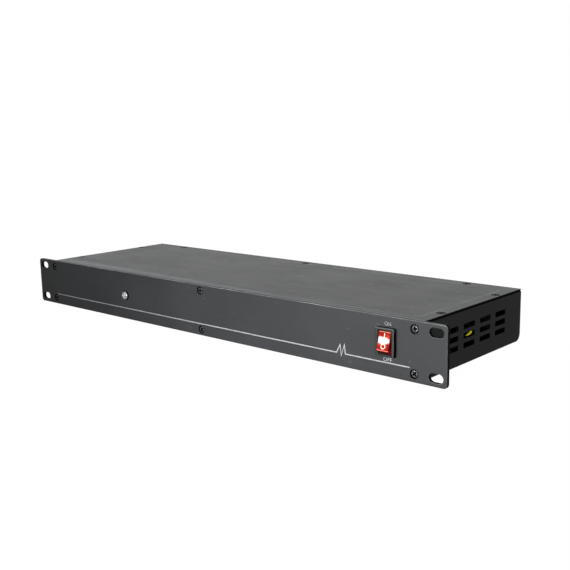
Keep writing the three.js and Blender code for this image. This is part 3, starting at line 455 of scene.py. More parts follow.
def bright_metal(name, colour, second, roughness, stretch=(1.0, 1.0, 1.0)):
    """Plated or bare metal: clean reflections broken by a fine directional grain."""
    made = Surface(name, colour, second, 2.0, 0.4, 0.003, roughness, 0.05, metallic=1.0)
    return made.done((made.patches(0.2, 0.45, 0.75, stretch=stretch), second, 0.25))


def lamp_core():
    """The die's reflector cup inside the lamp: bright silvered metal with dark gaps, made to glow with its own
    colour: a painted glow for the light that it catches.
    """
    made = Surface("lamp_cup_painted_glow", "#f0f2f3", "#d9dcde", 0.8, 0.3, 0.004, 0.3, 0.08, metallic=0.6)
    made.paint(made.patches(0.9, 0.5, 0.58, 1.0), "#55585a", 0.8)
    # The cup glows with its own colour: painted light
    made.sockets.update(glow=made.colour, power=0.42)
    return made.done()


def solder_mask():
    """Green solder mask over copper tracks: glossy, with tracks as faint lighter lanes."""
    made = Surface("green_solder_mask", "#17502f", "#124427", 25.0, 0.5, 0.004, 0.3, 0.06, coat=0.25)
    wave = made.node("ShaderNodeTexWave", {
        "Vector": made.place, "Scale": 1 / (9.0 * MM), "Distortion": 1.5, "Detail": 1.0},
        wave_type="BANDS", bands_direction="X")
    return made.done((made.ramp(wave.outputs[1], 0.8, 0.9), "#2c7a49", 0.5),
                     (made.specks(5.0, 0.12), "#b9b7a6", 0.9))


def wire_sleeve(name, colour, second, stripe=None):
    """PVC wire sleeve: soft satin plastic. A stripe takes up two thirds of each turn."""
    made = Surface(name, colour, second, 4.0, 0.3, 0.003, 0.42, 0.06)
    if stripe:
        around = made.axis("Y", made.node("ShaderNodeUVMap").outputs[0])
        turn = made.math("FRACT", made.math("ADD", around, 0.32))
        made.paint(made.math("GREATER_THAN", turn, 0.34), stripe, 1.0)
    return made.done()


# Shape tools

def polar(u, v, radius, degrees):
    angle = math.radians(degrees)
    return u + radius * math.cos(angle), v + radius * math.sin(angle)


def arc(u, v, radius, start, end, steps=8):
    return [polar(u, v, radius, start + (end - start) * i / steps) for i in range(steps + 1)]


def dome(radius, height, base, step):
    """Profile from a dome's tip to its rim at base, for turned."""
    return [(radius * math.sin(math.radians(a)), base + height * math.cos(math.radians(a)))
            for a in range(0, 91, step)]


def placer(along, origin=(0.0, 0.0, 0.0)):
    """A function that places (u, v, depth) about an origin, with depth along the named axis."""
    def place(u, v, depth):
        return Vector({"x": (depth, u, v), "y": (u, depth, v), "z": (u, v, depth)}[along]) + Vector(origin)
    return place


def rectangle(size, corner, centre=(0.0, 0.0), steps=6):
    """Outline of a rectangle with round corners, as a function of how much larger it is drawn all round.
    Corners are one radius, or four from the upper right one anticlockwise."""
    radii = corner if isinstance(corner, tuple) else (corner,) * 4

    def outline(grow):
        points = []
        for side_u, side_v, start, radius in zip((1, -1, -1, 1), (1, 1, -1, -1), (0, 90, 180, 270), radii):
            bend = max(radius + grow, 0.02)
            u = centre[0] + side_u * (size[0] / 2 + grow - bend)
            v = centre[1] + side_v * (size[1] / 2 + grow - bend)
            points += arc(u, v, bend, start, start + 90, steps)
        return points
    return outline


def circle(radius, centre=(0.0, 0.0), sides=48):
    return lambda grow: [polar(*centre, radius + grow, 360 * i / sides) for i in range(sides)]


def hexagon(half, reach):
    """Outline of a nut that is twice half across its flats; reach is what its growth is measured against."""
    corners = [polar(0, 0, half / math.cos(math.radians(30)), 60 * i) for i in range(6)]
    return lambda grow: [(u * (1 + grow / reach), v * (1 + grow / reach)) for u, v in corners]


def wall(start, end, edge, outward=1):
    """Profile of a plate's edge as (grow, depth), with both arrises rounded over edge millimetres.
    outward is 1 for the plate's outline and -1 for a hole in it."""
    if not edge:
        return [(0.0, start), (0.0, end)]
    turn = 1 - math.sqrt(0.5)
    arris = [(-edge, 0.0), (-edge * turn, edge * turn), (0.0, edge)]
    near = [(outward * grow, start + depth) for grow, depth in arris]
    return near + [(outward * grow, end - depth) for grow, depth in reversed(arris)]


def skin(bm, near, far):
    """Faces between two rings of as many points."""
    pairs = zip(near, near[1:] + near[:1], far[1:] + far[:1], far)
    return [bm.faces.new(corners) for corners in pairs]


def drawn(bm, rings):
    """A closed shape through rings of as many points."""
    made = [bm.faces.new(ring) for ring in (rings[0], rings[-1])]
    for near, far in zip(rings, rings[1:]):
        made += skin(bm, near, far)
    bmesh.ops.recalc_face_normals(bm, faces=made)
    return made


def pierced(bm, place, *loops):
    """A plate from (outline, profile) pairs: the first is its edge, and the others are holes through it."""
    made, ends = [], ([], [])
    for outline, profile in loops:
        rings = [[bm.verts.new(place(u, v, depth)) for u, v in outline(grow)] for grow, depth in profile]
        for near, far in zip(rings, rings[1:]):
            made += skin(bm, near, far)
        for end, ring in zip(ends, (rings[0], rings[-1])):
            end += [bm.edges.get(pair) for pair in zip(ring, ring[1:] + ring[:1])]
    normal = (place(0, 0, 1) - place(0, 0, 0)).normalized()
    for edges in ends:
        filled = bmesh.ops.triangle_fill(bm, use_beauty=True, edges=edges, normal=normal)
        made += [part for part in filled["geom"] if isinstance(part, bmesh.types.BMFace)]
    bmesh.ops.recalc_face_normals(bm, faces=made)


def plate(bm, place, outer, holes, start, end, edge=0.0, hole_edge=None):
    inner = wall(start, end, edge if hole_edge is None else hole_edge, -1)
    pierced(bm, place, (outer, wall(start, end, edge)), *[(hole, inner) for hole in holes])


def prism(bm, place, points, start, end):
    """A closed outline drawn out along the third axis."""
    return drawn(bm, [[bm.verts.new(place(u, v, depth)) for u, v in points] for depth in (start, end)])


def turned(bm, place, profile, sides=48):
    """A turned shape from (radius, depth) pairs. It closes on its axis where a radius is 0, else on itself."""
    rings = [[bm.verts.new(place(*polar(0, 0, radius, 360 * i / sides), depth))
              for i in range(sides if radius else 1)] for radius, depth in profile]
    if profile[0][0]:
        rings.append(rings[0])
    made = []
    for near, far in zip(rings, rings[1:]):
        for i in range(sides):
            j = (i + 1) % sides
            corners = [near[i % len(near)], near[j % len(near)], far[j % len(far)], far[i % len(far)]]
            made.append(bm.faces.new(list(dict.fromkeys(corners))))
    bmesh.ops.recalc_face_normals(bm, faces=made)


def block(bm, low, high, edge=0.3, segments=2):
    """A block between two corners, with all its edges rounded."""
    low, high = Vector(low), Vector(high)
    place = Matrix.Translation((low + high) / 2) @ Matrix.Diagonal((*(high - low), 1.0))
    made = bmesh.ops.create_cube(bm, size=1.0, matrix=place)["verts"]
    if edge:
        edges = list({e for v in made for e in v.link_edges})
        bmesh.ops.bevel(bm, geom=edges, offset=edge, segments=segments, profile=0.5, affect="EDGES")


def mark(bm, *rules):
    """Gives each face the material number of the first rule that its middle and its normal meet."""
    for face in bm.faces:
        at = face.calc_center_median()
        face.material_index = next((number for number, rule in rules if rule(at, face.normal)), 0)


def linked(name, data):
    made = bpy.data.objects.new(name, data)
    bpy.context.scene.collection.objects.link(made)
    return made


def object_of(name, bm):
    mesh = bpy.data.meshes.new(name)
    bm.to_mesh(mesh)
    bm.free()
    return linked(name, mesh)


def mesh_of(made):
    """What an object and its modifiers come to, as a plain mesh."""
    bpy.context.view_layer.update()
    return bpy.data.meshes.new_from_object(made.evaluated_get(bpy.context.evaluated_depsgraph_get()))


def settle(made):
    mesh = mesh_of(made)
    made.modifiers.clear()
    made.data = mesh
    return made


def carved(bm, cutter):
    """The first shape less the second."""
    whole, tool = object_of("whole", bm), object_of("cutter", cutter)
    cut = whole.modifiers.new("cut", "BOOLEAN")
    cut.object, cut.operation, cut.solver = tool, "DIFFERENCE", "EXACT"
    settle(whole)
    result = bmesh.new()
    result.from_mesh(whole.data)
    for spent in (whole, tool):
        bpy.data.objects.remove(spent)
    return result


def shade(made, limit=35.0):
    """Smooth faces with hard edges above the limit, and flat faces that stay flat beside a round."""
    made.data.polygons.foreach_set("use_smooth", [True] * len(made.data.polygons))
    made.data.set_sharp_from_angle(angle=math.radians(limit))
    made.modifiers.new("even_normals", "WEIGHTED_NORMAL").keep_sharp = True
    return settle(made)


def finished(made, materials, body, nodes=()):
    """Gives a piece its materials and body, and hides the CAD nodes that it stands for."""
    for material in materials:
        made.data.materials.append(material)
    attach(made, body)
    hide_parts(*nodes)
    return made


def piece(name, bm, material, slot, *nodes, body="case", limit=35.0):
    made = object_of(name, bm)
    made.data.transform(TO_ROW)
    shade(made, limit)
    return finished(made, material if isinstance(material, list) else [material], body, nodes)


# Copies by geometry nodes

def copies_tree():
    """Copies of a part on every point of a mesh, leant alike and each turned about its own axis by chance."""
    tree = bpy.data.node_groups.new("copies_on_points", "GeometryNodeTree")
    for name, kind in (("Points", "Geometry"), ("Part", "Object"), ("Lean", "Vector"), ("Size", "Float"),
                       ("Turn", "Float"), ("Seed", "Int"), ("Finish", "Material"), ("Shade", "Material")):
        tree.interface.new_socket(name=name, in_out="INPUT", socket_type=f"NodeSocket{kind}")
    tree.interface.new_socket(name="Copies", in_out="OUTPUT", socket_type="NodeSocketGeometry")
    given = add(tree, "NodeGroupInput").outputs
    part = add(tree, "GeometryNodeObjectInfo", {"Object": given["Part"]}).outputs["Geometry"]
    chance = add(tree, "FunctionNodeRandomValue", {2: 0.0, 3: given["Turn"], 8: given["Seed"]},
                 data_type="FLOAT").outputs[1]
    spin = add(tree, "ShaderNodeCombineXYZ", {"Z": chance}).outputs[0]
    placed = add(tree, "GeometryNodeInstanceOnPoints", {
        "Points": given["Points"], "Instance": part, "Rotation": given["Lean"], "Scale": given["Size"]})
    spun = add(tree, "GeometryNodeRotateInstances", {
        "Instances": placed.outputs[0], "Rotation": spin, "Local Space": True})
    real = add(tree, "GeometryNodeRealizeInstances", {0: spun.outputs[0]})
    coated = add(tree, "GeometryNodeSetMaterial", {"Geometry": real.outputs[0], "Material": given["Finish"]})
    # Faces flagged recess, in the screws' crosses and on their rims, take the black of painted shade
    in_shade = add(tree, "GeometryNodeInputNamedAttribute", {"Name": "recess"}, data_type="BOOLEAN").outputs[0]
    blackened = add(tree, "GeometryNodeSetMaterial", {
        "Geometry": coated.outputs[0], "Selection": in_shade, "Material": given["Shade"]})
    add(tree, "NodeGroupOutput", {0: blackened.outputs[0]})
    return tree


COPIES = copies_tree()


def copies(name, part, places, material, slot, *nodes, body="case", lean=0.0, size=1.0, turn=0.0, seed=1):
    """One piece that holds a copy of the part at each place. The part is a shape about its own axis, in
    millimetres; lean and turn are degrees about x and about that axis."""
    source = object_of(name + "_part", part)
    source.data.transform(Matrix.Scale(MM, 4))
    shade(source)
    source.data.materials.append(material)
    points = bpy.data.meshes.new(name)
    points.from_pydata([TO_ROW @ Vector(p) for p in places], [], [])
    made = linked(name, points)
    modifier = made.modifiers.new(name, "NODES")
    modifier.node_group = COPIES
    values = {"Part": source, "Lean": (math.radians(lean), 0.0, 0.0), "Size": size,
              "Turn": math.radians(turn), "Seed": seed, "Finish": material, "Shade": BLACK_AND_SHADE}
    for item in COPIES.interface.items_tree:
        if item.in_out == "INPUT" and item.name in values:
            modifier[item.identifier] = values[item.name]
    settle(made)
    bpy.data.objects.remove(source)
    return finished(made, [], body, nodes)


# Materials: their two tones, then for a surface the blotch, grain, relief, roughness and spread

# Black satin paint on aluminium: an even fine grain, faint rubbed patches and a few small scuffs
made = Surface("satin_black_panel", "#3c3d3f", "#363739", 70.0, 0.6, 0.008, 0.46, 0.05, specular=0.25)
PANEL = made.done((made.patches(9.0, 0.66, 0.74, 4.0, (1.0, 1.0, 0.35)), "#5b5d5f", 0.35),
                  (made.specks(6.0, 0.05), "#74767a", 0.5))
# The panel's front arrises that face up, painted lighter: a painted highlight, with lighter streaks along them
made = Surface("panel_arris_painted_highlight", "#7c7e80", "#6b6d6f", 9.0, 0.5, 0.006, 0.34, 0.06, specular=0.4)
UPPER_ARRIS_HIGHLIGHT = made.done((made.patches(5.0, 0.5, 0.62, 3.0, (5.0, 1.0, 1.0)), "#a4a6a7", 0.6))
# The case and the cover carry one black powder coat in two copies: the case's copy is painted darker for its
# sides, base and rear as painted shade, and the cover's copy lighter as painted light
CASE_SHADED_COAT = coat("case_coat_painted_shade", "#1c1d1d", "#171818", 0.12).done()
COVER_LIT_COAT = cover_coat()
# Black-passivated zinc on steel screws: dark metal, lighter where the driver has rubbed it
ZINC = Surface("black_zinc_screw", "#7e8082", "#5f6163", 1.2, 0.3, 0.004, 0.44, 0.08, metallic=0.7).done()
# Blackened steel on the cover's screws: dark and oily, with a grey bloom that comes close to the cover's
made = Surface("black_oxide_screw", "#4c4d4e", "#3a3b3c", 1.5, 0.3, 0.004, 0.42, 0.08, metallic=0.3)
OXIDE = made.done((made.patches(0.9, 0.6, 0.75), "#6a6b6c", 0.4))
# Deep black: painted shade in countersinks, recesses and gaps and on edges and flanks, and the real black of
# the lamp's die. It takes the light away
BLACK_AND_SHADE = Surface("black_and_painted_shade", "#060606", "#0b0b0b", 1.0, 0.2, 0.004, 0.8, 0.05,
               specular=0.03).done()
BEZEL = moulded("bezel_black_nylon", "#1d1f1f", "#181a1a", 0.38)
# The bezel's upper edge, painted lighter where it faces up: a painted highlight, a grey glint
UPPER_EDGE_HIGHLIGHT = moulded("nylon_edge_painted_highlight", "#737775", "#626664", 0.2)
# The funnel's right side beside the rocker, with the rocker's red light painted on as a faint red glow: a
# painted reflection
RED_REFLECTION_EDGE = moulded("nylon_edge_painted_red_reflection", "#1a0405", "#140304", 0.5, specular=0.1, glow="#5c0a10", power=0.8)
NYLON = moulded("connector_black_nylon", "#161616", "#111111", 0.5)
INSERT = moulded("insert_black_polyamide", "#1c1c1d", "#161617", 0.42)
ROCKER = lit_rocker()
ROCKER_SIDE = shaded_rocker()
# The rocker's rounded ends, where light leaves the clear plastic along its edge: a pale orange-pink line
ROCKER_LIP = Surface("lit_polycarbonate_lip", "#d8553c", "#c2452f", 2.0, 0.4, 0.002, 0.14, 0.04, ior=1.58,
                     glow="#ffab94", power=0.75).done()
# White filled marks of the rocker, lit from behind
MARK = Surface("lit_white_mark", "#fff0ea", "#ffe4da", 1.0, 0.3, 0.002, 0.3, 0.05,
               glow="#ffe3d8", power=0.8).done()
INK = print_ink("grey_screen_ink", "#b2b5b7", "#a1a4a7")
FAINT_INK = print_ink("thin_grey_screen_ink", "#a3a9ae", "#91979c")
CHROME = bright_metal("bright_chrome_plate", "#dcdddf", "#c6c8ca", 0.18)
NICKEL = bright_metal("bright_nickel_plate", "#d7d5cf", "#bdbab2", 0.2)
LATCH = bright_metal("satin_nickel_latch", "#b9b8b4", "#9c9b97", 0.34, (12.0, 1.0, 1.0))
SILVER = bright_metal("silver_plated_contact", "#d2d0ca", "#b3b0a8", 0.26)
TIN = bright_metal("tinned_terminal_brass", "#c4c2ba", "#a5a298", 0.36)
ALUMINIUM = bright_metal("milled_aluminium", "#b4b6b8", "#9a9c9e", 0.38, (1.0, 10.0, 1.0))
# Water-clear lamp epoxy: glassy, with a very slight milkiness
EPOXY = Surface("clear_lamp_epoxy", "#edf1f4", "#e3e8ec", 3.0, 0.5, 0.001, 0.05, 0.02,
                ior=1.53, clear=0.85).done()
CUP_GLOW = lamp_core()
BOARD = solder_mask()
CHIP = moulded("epoxy_chip_body", "#1b1b1c", "#151516", 0.6)
FERRITE = moulded("sintered_ferrite", "#2d2d30", "#232326", 0.72, 0.7, 0.02)
TAPE = moulded("yellow_polyester_tape", "#c9a51f", "#b89417", 0.35)
SLEEVE = moulded("capacitor_shrink_sleeve", "#16181d", "#101216", 0.3)
# The fuse's tube: thin clear glass, faintly green
GLASS = Surface("clear_fuse_glass", "#eef3f2", "#e2e9e8", 3.0, 0.5, 0.001, 0.06, 0.02, clear=0.8).done()
EARTH = wire_sleeve("earth_wire_sleeve", "#fff02c", "#f2e226", "#1f6b2c")
# Black sleeves over the wires: painted shade
SHADE_SLEEVE = moulded("black_sleeve_painted_shade", "#121213", "#0c0c0d", 0.5, 0.3, 0.003)
BROWN = wire_sleeve("line_wire_sleeve", "#5a3320", "#4d2b1a")
BLUE = wire_sleeve("neutral_wire_sleeve", "#1a3a74", "#153062")
RED = wire_sleeve("lead_wire_sleeve", "#a8201a", "#951a15")


# Screws

def cross_recess(bm, level, depth=CROSS_DEPTH):
    """Cuts a driver's cross, narrowing towards its bottom, into a screw's face at that level."""
    cutter = bmesh.new()
    rings = []
    for below, narrow in ((-0.3, 1.05), (0.0, 1.0), (depth, 0.45)):
        reach, half = CROSS_LENGTH / 2 * narrow, CROSS_WIDTH / 2 * (0.4 + 0.6 * narrow)
        arm = [(reach, -half), (reach, half), (half, half)]
        rings.append([cutter.verts.new((u * c - v * s, u * s + v * c, level - below))
                      for c, s in ((1, 0), (0, 1), (-1, 0), (0, -1)) for u, v in arm])
    drawn(cutter, rings)
    cut = carved(bm, cutter)
    # Faces in the cross and on the head's rim are flagged to be painted black: painted shade
    inside = cut.faces.layers.bool.new("recess")
    for face in cut.faces:
        at = face.calc_center_median()
        off_axis = math.hypot(at.x, at.y)
        in_cross = off_axis < CROSS_LENGTH / 2 and -0.02 > at.z - level > -depth - 0.02
        face[inside] = in_cross or off_axis > HEAD_RADIUS - HEAD_RIM
    return cut


def flat_head_screw(length, head_depth, recess_depth=CROSS_DEPTH):
    """A countersunk screw about z, its head's face at z = 0 and its rim painted black as shade."""
    bm = bmesh.new()
    turned(bm, placer("z"), [
        (0, 0), (HEAD_RADIUS - HEAD_RIM, 0), (HEAD_RADIUS, -HEAD_RIM / 2), (HEAD_RADIUS - 0.02, -HEAD_RIM),
        (SHANK_RADIUS, -head_depth), (SHANK_RADIUS, -length), (0, -length)], 32)
    return cross_recess(bm, 0.0, recess_depth)


def screws():
    places = [(middle(n).x, extent(n)[0].y, middle(n).z) for n in PANEL_SCREWS]
    copies("panel_screws", flat_head_screw(PANEL_SCREW_LENGTH, PANEL_HEAD_DEPTH), places, ZINC, "black_zinc",
           *PANEL_SCREWS, lean=90.0, turn=50.0, seed=4)
    places = [(middle(n).x, middle(n).y, extent(n)[1].z) for n in COVER_SCREWS]
    copies("cover_screws", flat_head_screw(COVER_SCREW_LENGTH, COVER_HEAD_DEPTH, COVER_CROSS_DEPTH), places,
           OXIDE, "black_zinc", *COVER_SCREWS, turn=90.0, seed=7)


# Case

def front_panel():
    low, high, centre = extent("front_panel")
    depth = high.y
    holes = [rectangle(SLOT_SIZE, SLOT_SIZE[1] / 2 - 0.01,
                       (side * (high.x - SLOT_INSET), centre.z + level * SLOT_SPACING / 2), 8)
             for side in (-1, 1) for level in (-1, 1)]
    lamp, switch = middle("led_holder"), middle("switch_housing")
    holes.append(circle(HOLDER_SHANK[0] + FIT, (lamp.x, lamp.z)))
    holes.append(rectangle([size + 2 * FIT for size in SWITCH_BODY], 0.4, (switch.x, switch.z)))
    at_screws = [(middle(n).x, middle(n).z) for n in PANEL_SCREWS]
    spread = SINK_RADIUS - HOLE_RADIUS
    sink = [(spread + 0.12, 0.0), (spread, 0.1), (0.0, spread), (0.0, depth - 0.2), (0.2, depth)]
    outer = rectangle((high.x - low.x, high.z - low.z), PANEL_CORNER, (0.0, centre.z), 10)
    bm = bmesh.new()
    pierced(bm, placer("y"), (outer, wall(0, depth, PANEL_EDGE)),
            *[(hole, wall(0, depth, 0.2, -1)) for hole in holes],
            *[(circle(HOLE_RADIUS, at), sink) for at in at_screws])

    def off_screw(at):
        return min(math.hypot(at.x - x, at.z - z) for x, z in at_screws)

    # Hole walls, the panel's side and lower edges and the countersinks are painted black: painted shade
    def blackened(at, normal):
        return abs(normal.y) < 0.2 and at.z < high.z - 0.05 or off_screw(at) < SINK_RADIUS and at.y > 0.02

    # Front arrises that face up, on the panel's top and the holes' lower edges, take the lighter colour: a
    # painted highlight
    def rubbed(at, normal):
        return at.y < PANEL_EDGE and normal.z > 0.3 and off_screw(at) > SINK_RADIUS + 0.2
    mark(bm, (1, blackened), (2, rubbed))
    piece("front_panel_finish", bm, [PANEL, BLACK_AND_SHADE, UPPER_ARRIS_HIGHLIGHT], "panel_anodised", "front_panel")


def top_cover():
    low, high, _ = extent("top_cover")
    at_screws = [(middle(n).x, middle(n).y) for n in COVER_SCREWS]
    spread = COVER_SINK_RADIUS - HOLE_RADIUS
    sink = [(0.0, low.z), (0.0, high.z - COVER_SINK_DEPTH), (spread, high.z - 0.04), (spread + 0.1, high.z)]
    outer = rectangle((high.x - low.x, high.y - low.y), 0.8, ((low.x + high.x) / 2, (low.y + high.y) / 2))
    bm = bmesh.new()
    pierced(bm, placer("z"), (outer, wall(low.z, high.z, 0.25)),
            *[(circle(HOLE_RADIUS, at, 40), sink) for at in at_screws])

    # The countersinks' walls, the cover's edges and its underside are painted black: painted shade
    def dark(at, normal):
        in_sink = min(math.hypot(at.x - x, at.y - y) for x, y in at_screws) < COVER_SINK_RADIUS
        return (in_sink and low.z + 0.02 < at.z < high.z - 0.02 or abs(normal.z) < 0.6
                or normal.z < 0 and at.z > low.z + 0.01)
    mark(bm, (1, dark))
    piece("top_cover_finish", bm, [COVER_LIT_COAT, BLACK_AND_SHADE], "cover_powder_coat", "top_cover")


def folded(edge, top, width):
    """Sections of the bend at a sheet's upper edge, and of the flange that reaches width millimetres in."""
    u, v, end = edge - BEND, top - BEND, edge - width
    return (arc(u, v, BEND, 0, 90) + arc(u, v, BEND - SHEET, 90, 0),
            [(u, top), (end, top), (end, top - SHEET), (u, top - SHEET)])


def side_panel(node, side):
    low, high, centre = extent(node)
    outer, top = max(abs(low.x), abs(high.x)), high.z - BEND
    outline = rectangle((high.y - low.y, top - low.z), (0.02, 0.02, 0.02, REAR_BEND),
                        (centre.y, (low.z + top) / 2), 10)
    vents = [rectangle(VENT_SIZE, VENT_CORNER, (VENT_FIRST[0] + column * VENT_PITCH[0],
                                                VENT_FIRST[1] + level * VENT_PITCH[1]))
             for column in range(VENT_COLUMNS) for level in range(VENT_ROWS)]
    bm = bmesh.new()
    plate(bm, placer("x"), outline, vents, side * (outer - SHEET), side * outer)
    bend, flange_part = ([(side * x, z) for x, z in section]
                         for section in folded(outer, high.z, SIDE_FLANGE))
    # The bend's upward faces under the cover's edge are painted black: a painted shadow in the gap
    for face in prism(bm, placer("y"), bend, low.y, high.y):
        face.material_index = face.normal.z > 0.3
    prism(bm, placer("y"), flange_part, low.y + BEND, high.y - BEND)
    piece(node + "_finish", bm, [CASE_SHADED_COAT, BLACK_AND_SHADE], "case_powder_coat", node)


def rear_panel():
    low, high, _ = extent("rear_panel")
    back, top, bottom = high.y, high.z - BEND, low.z + REAR_BEND
    holes = [circle(SHELL_RADIUS + FIT, (middle(n).x, middle(n).z), 64) for n in CONNECTORS]
    inlet_at = middle("power_inlet")
    holes.append(rectangle([size + 2 * FIT for size in INLET_BODY[:2]], 0.3, (inlet_at.x, inlet_at.z)))
    outer = rectangle((high.x - low.x, top - bottom), 0.02, (0.0, (top + bottom) / 2))
    bm = bmesh.new()
    plate(bm, placer("y"), outer, holes, back - SHEET, back)
    foot = [*arc(back - REAR_BEND, bottom, REAR_BEND, 0, -90, 12), (back - REAR_FOOT, low.z),
            (back - REAR_FOOT, low.z + SHEET), *arc(back - REAR_BEND, bottom, REAR_BEND - SHEET, -90, 0, 12)]
    bend, flange_part = folded(back, high.z, REAR_FLANGE)
    end = high.x - FLANGE_END_GAP + SHEET
    for section, start, stop in ((foot, low.x, high.x), (bend, low.x, high.x), (flange_part, -end, end)):
        prism(bm, placer("x"), section, start, stop)
    piece("rear_panel_finish", bm, CASE_SHADED_COAT, "case_powder_coat", "rear_panel")


# Print

def pulse_stripe():
    """The printed line across the panel, with a plain zigzag near its right end."""
    route = [Vector(point) for point in ((STRIPE_ENDS[0], 0.0), *PULSE, (STRIPE_ENDS[1], 0.0))]
    ways = [(after - before).normalized() for before, after in zip(route, route[1:])]
    level_way = Vector((1.0, 0.0))
    bm = bmesh.new()
    rings = []
    for point, before, after in zip(route, [level_way, *ways], [*ways, level_way]):
        mitre = Vector((-before.y - after.y, before.x + after.x)).normalized()
        reach = mitre * (STRIPE_WIDTH / 2 / max(mitre.dot(Vector((-before.y, before.x))), 0.4))
        rings.append([bm.verts.new((edge.x, y, STRIPE_LEVEL + edge.y)) for edge, y in (
            (point + reach, -PRINT_RELIEF), (point - reach, -PRINT_RELIEF),
            (point - reach, PRINT_RELIEF), (point + reach, PRINT_RELIEF))])
    drawn(bm, rings)
    piece("printed_stripe", bm, INK, "panel_anodised")


def lettering(name, text, size, centre, rear=False):
    """Printed letters of that width and height, facing the front or the rear."""
    curve = bpy.data.curves.new(name, "FONT")
    curve.body, curve.size = text, size[1]
    curve.extrude, curve.offset, curve.resolution_u = PRINT_RELIEF, 0.006 * size[1], 4
    source = linked(name, curve)
    mesh = mesh_of(source)
    bpy.data.objects.remove(source)
    low, high = (Vector([pick(v.co[axis] for v in mesh.vertices) for axis in range(3)])
                 for pick in (min, max))
    fit = Matrix.Diagonal((size[0] / (high.x - low.x), size[1] / (high.y - low.y), 1.0, 1.0))
    upright = Matrix.Rotation(math.radians(90), 4, "X")
    facing = Matrix.Rotation(math.pi if rear else 0, 4, "Z")
    mesh.transform(Matrix.Translation(-(low + high) / 2))
    mesh.transform(TO_ROW @ Matrix.Translation(centre) @ facing @ upright @ fit)
    finished(linked(name, mesh), [FAINT_INK], "case")


def prints():
    pulse_stripe()
    switch = middle("switch_housing")
    for word, width, above in SWITCH_WORDS:
        lettering(f"print_{word.lower()}", word, (width, WORD_HEIGHT),
                  (switch.x + WORD_SHIFT, 0.0, switch.z + above))
    rear = extent("rear_panel")[1].y
    for number in OUTPUTS:
        at = middle(f"dmx_output_{number}")
        width = NUMBER_SIZE[0] if number > 1 else NUMBER_SIZE[0] / 2
        lettering(f"print_output_{number}", str(number), (width, NUMBER_SIZE[1]),
                  (at.x + FLANGE_SIZE[0] / 2 + NUMBER_SHIFT[0], rear,
                   at.z + FLANGE_SIZE[1] / 2 + NUMBER_SHIFT[1]), rear=True)


# Rocker switch

def switch_housing():
    centre = middle("switch_housing")
    place = placer("y", (centre.x, 0.0, centre.z))
    pocket, body = rectangle(SWITCH_POCKET, 0.4), rectangle(SWITCH_BODY, 0.4)
    (wide, deep), front = BEZEL_FUNNEL, -BEZEL_PROUD
    inner = [(wide, front), (wide - 0.15, front + 0.05), (0.05, front + deep - 0.05),
             (0.0, front + deep + 0.1), (0.0, 0.0)]
    outer = [(-0.55, front), (-0.16, front + 0.12), (0.0, front + 0.5), (0.0, -0.02), (-0.1, 0.0)]
    bm = bmesh.new()
    pierced(bm, place, (rectangle(BEZEL_SIZE, BEZEL_CORNER), outer), (pocket, inner))
    # Numbers 1 to 3: black painted shade on the flanks, a painted highlight on the upper edge and a painted
    # red reflection on the funnel's right side
    mark(bm,
         (1, lambda at, normal: abs(at.x - centre.x) > BEZEL_SIZE[0] / 2 - 0.1 and abs(normal.x) > 0.8),
         (2, lambda at, normal: normal.z > 0.2 and at.z - centre.z > SWITCH_BODY[1] / 2
          and at.y < front + 0.5),
         (3, lambda at, normal: normal.x < -0.3 and 0 < at.x - centre.x < SWITCH_BODY[0] / 2
          and at.y < front + deep))
    piece("switch_bezel", bm, [BEZEL, BLACK_AND_SHADE, UPPER_EDGE_HIGHLIGHT, RED_REFLECTION_EDGE], "black_nylon", "switch_housing")
    bm, cutter = bmesh.new(), bmesh.new()
    plate(bm, place, body, [pocket], 0.0, SWITCH_POCKET_DEPTH)
    plate(bm, place, body, [], SWITCH_POCKET_DEPTH, SWITCH_BODY_DEPTH, 0.3)
    reach, bore = ROCKER_WIDTH / 2 + TRUNNION_LENGTH + FIT, TRUNNION_RADIUS + FIT
    turned(cutter, placer("x", (centre.x, ROCKER_PIVOT_DEPTH, centre.z)),
           [(0, -reach), (bore, -reach), (bore, reach), (0, reach)], 24)
    piece("switch_body", carved(bm, cutter), NYLON, "black_nylon")
    bm = bmesh.new()
    for level in (-1, 0, 1):
        flat = placer("z", (centre.x, SWITCH_BODY_DEPTH + TERMINAL_SIZE[1] / 2,
                            centre.z + level * TERMINAL_SPACING))
        plate(bm, flat, rectangle(TERMINAL_SIZE, 0.5), [circle(0.8, (0.0, 1.4), 16)], -0.4, 0.4, 0.1)
    piece("switch_terminals", bm, TIN, "black_nylon")


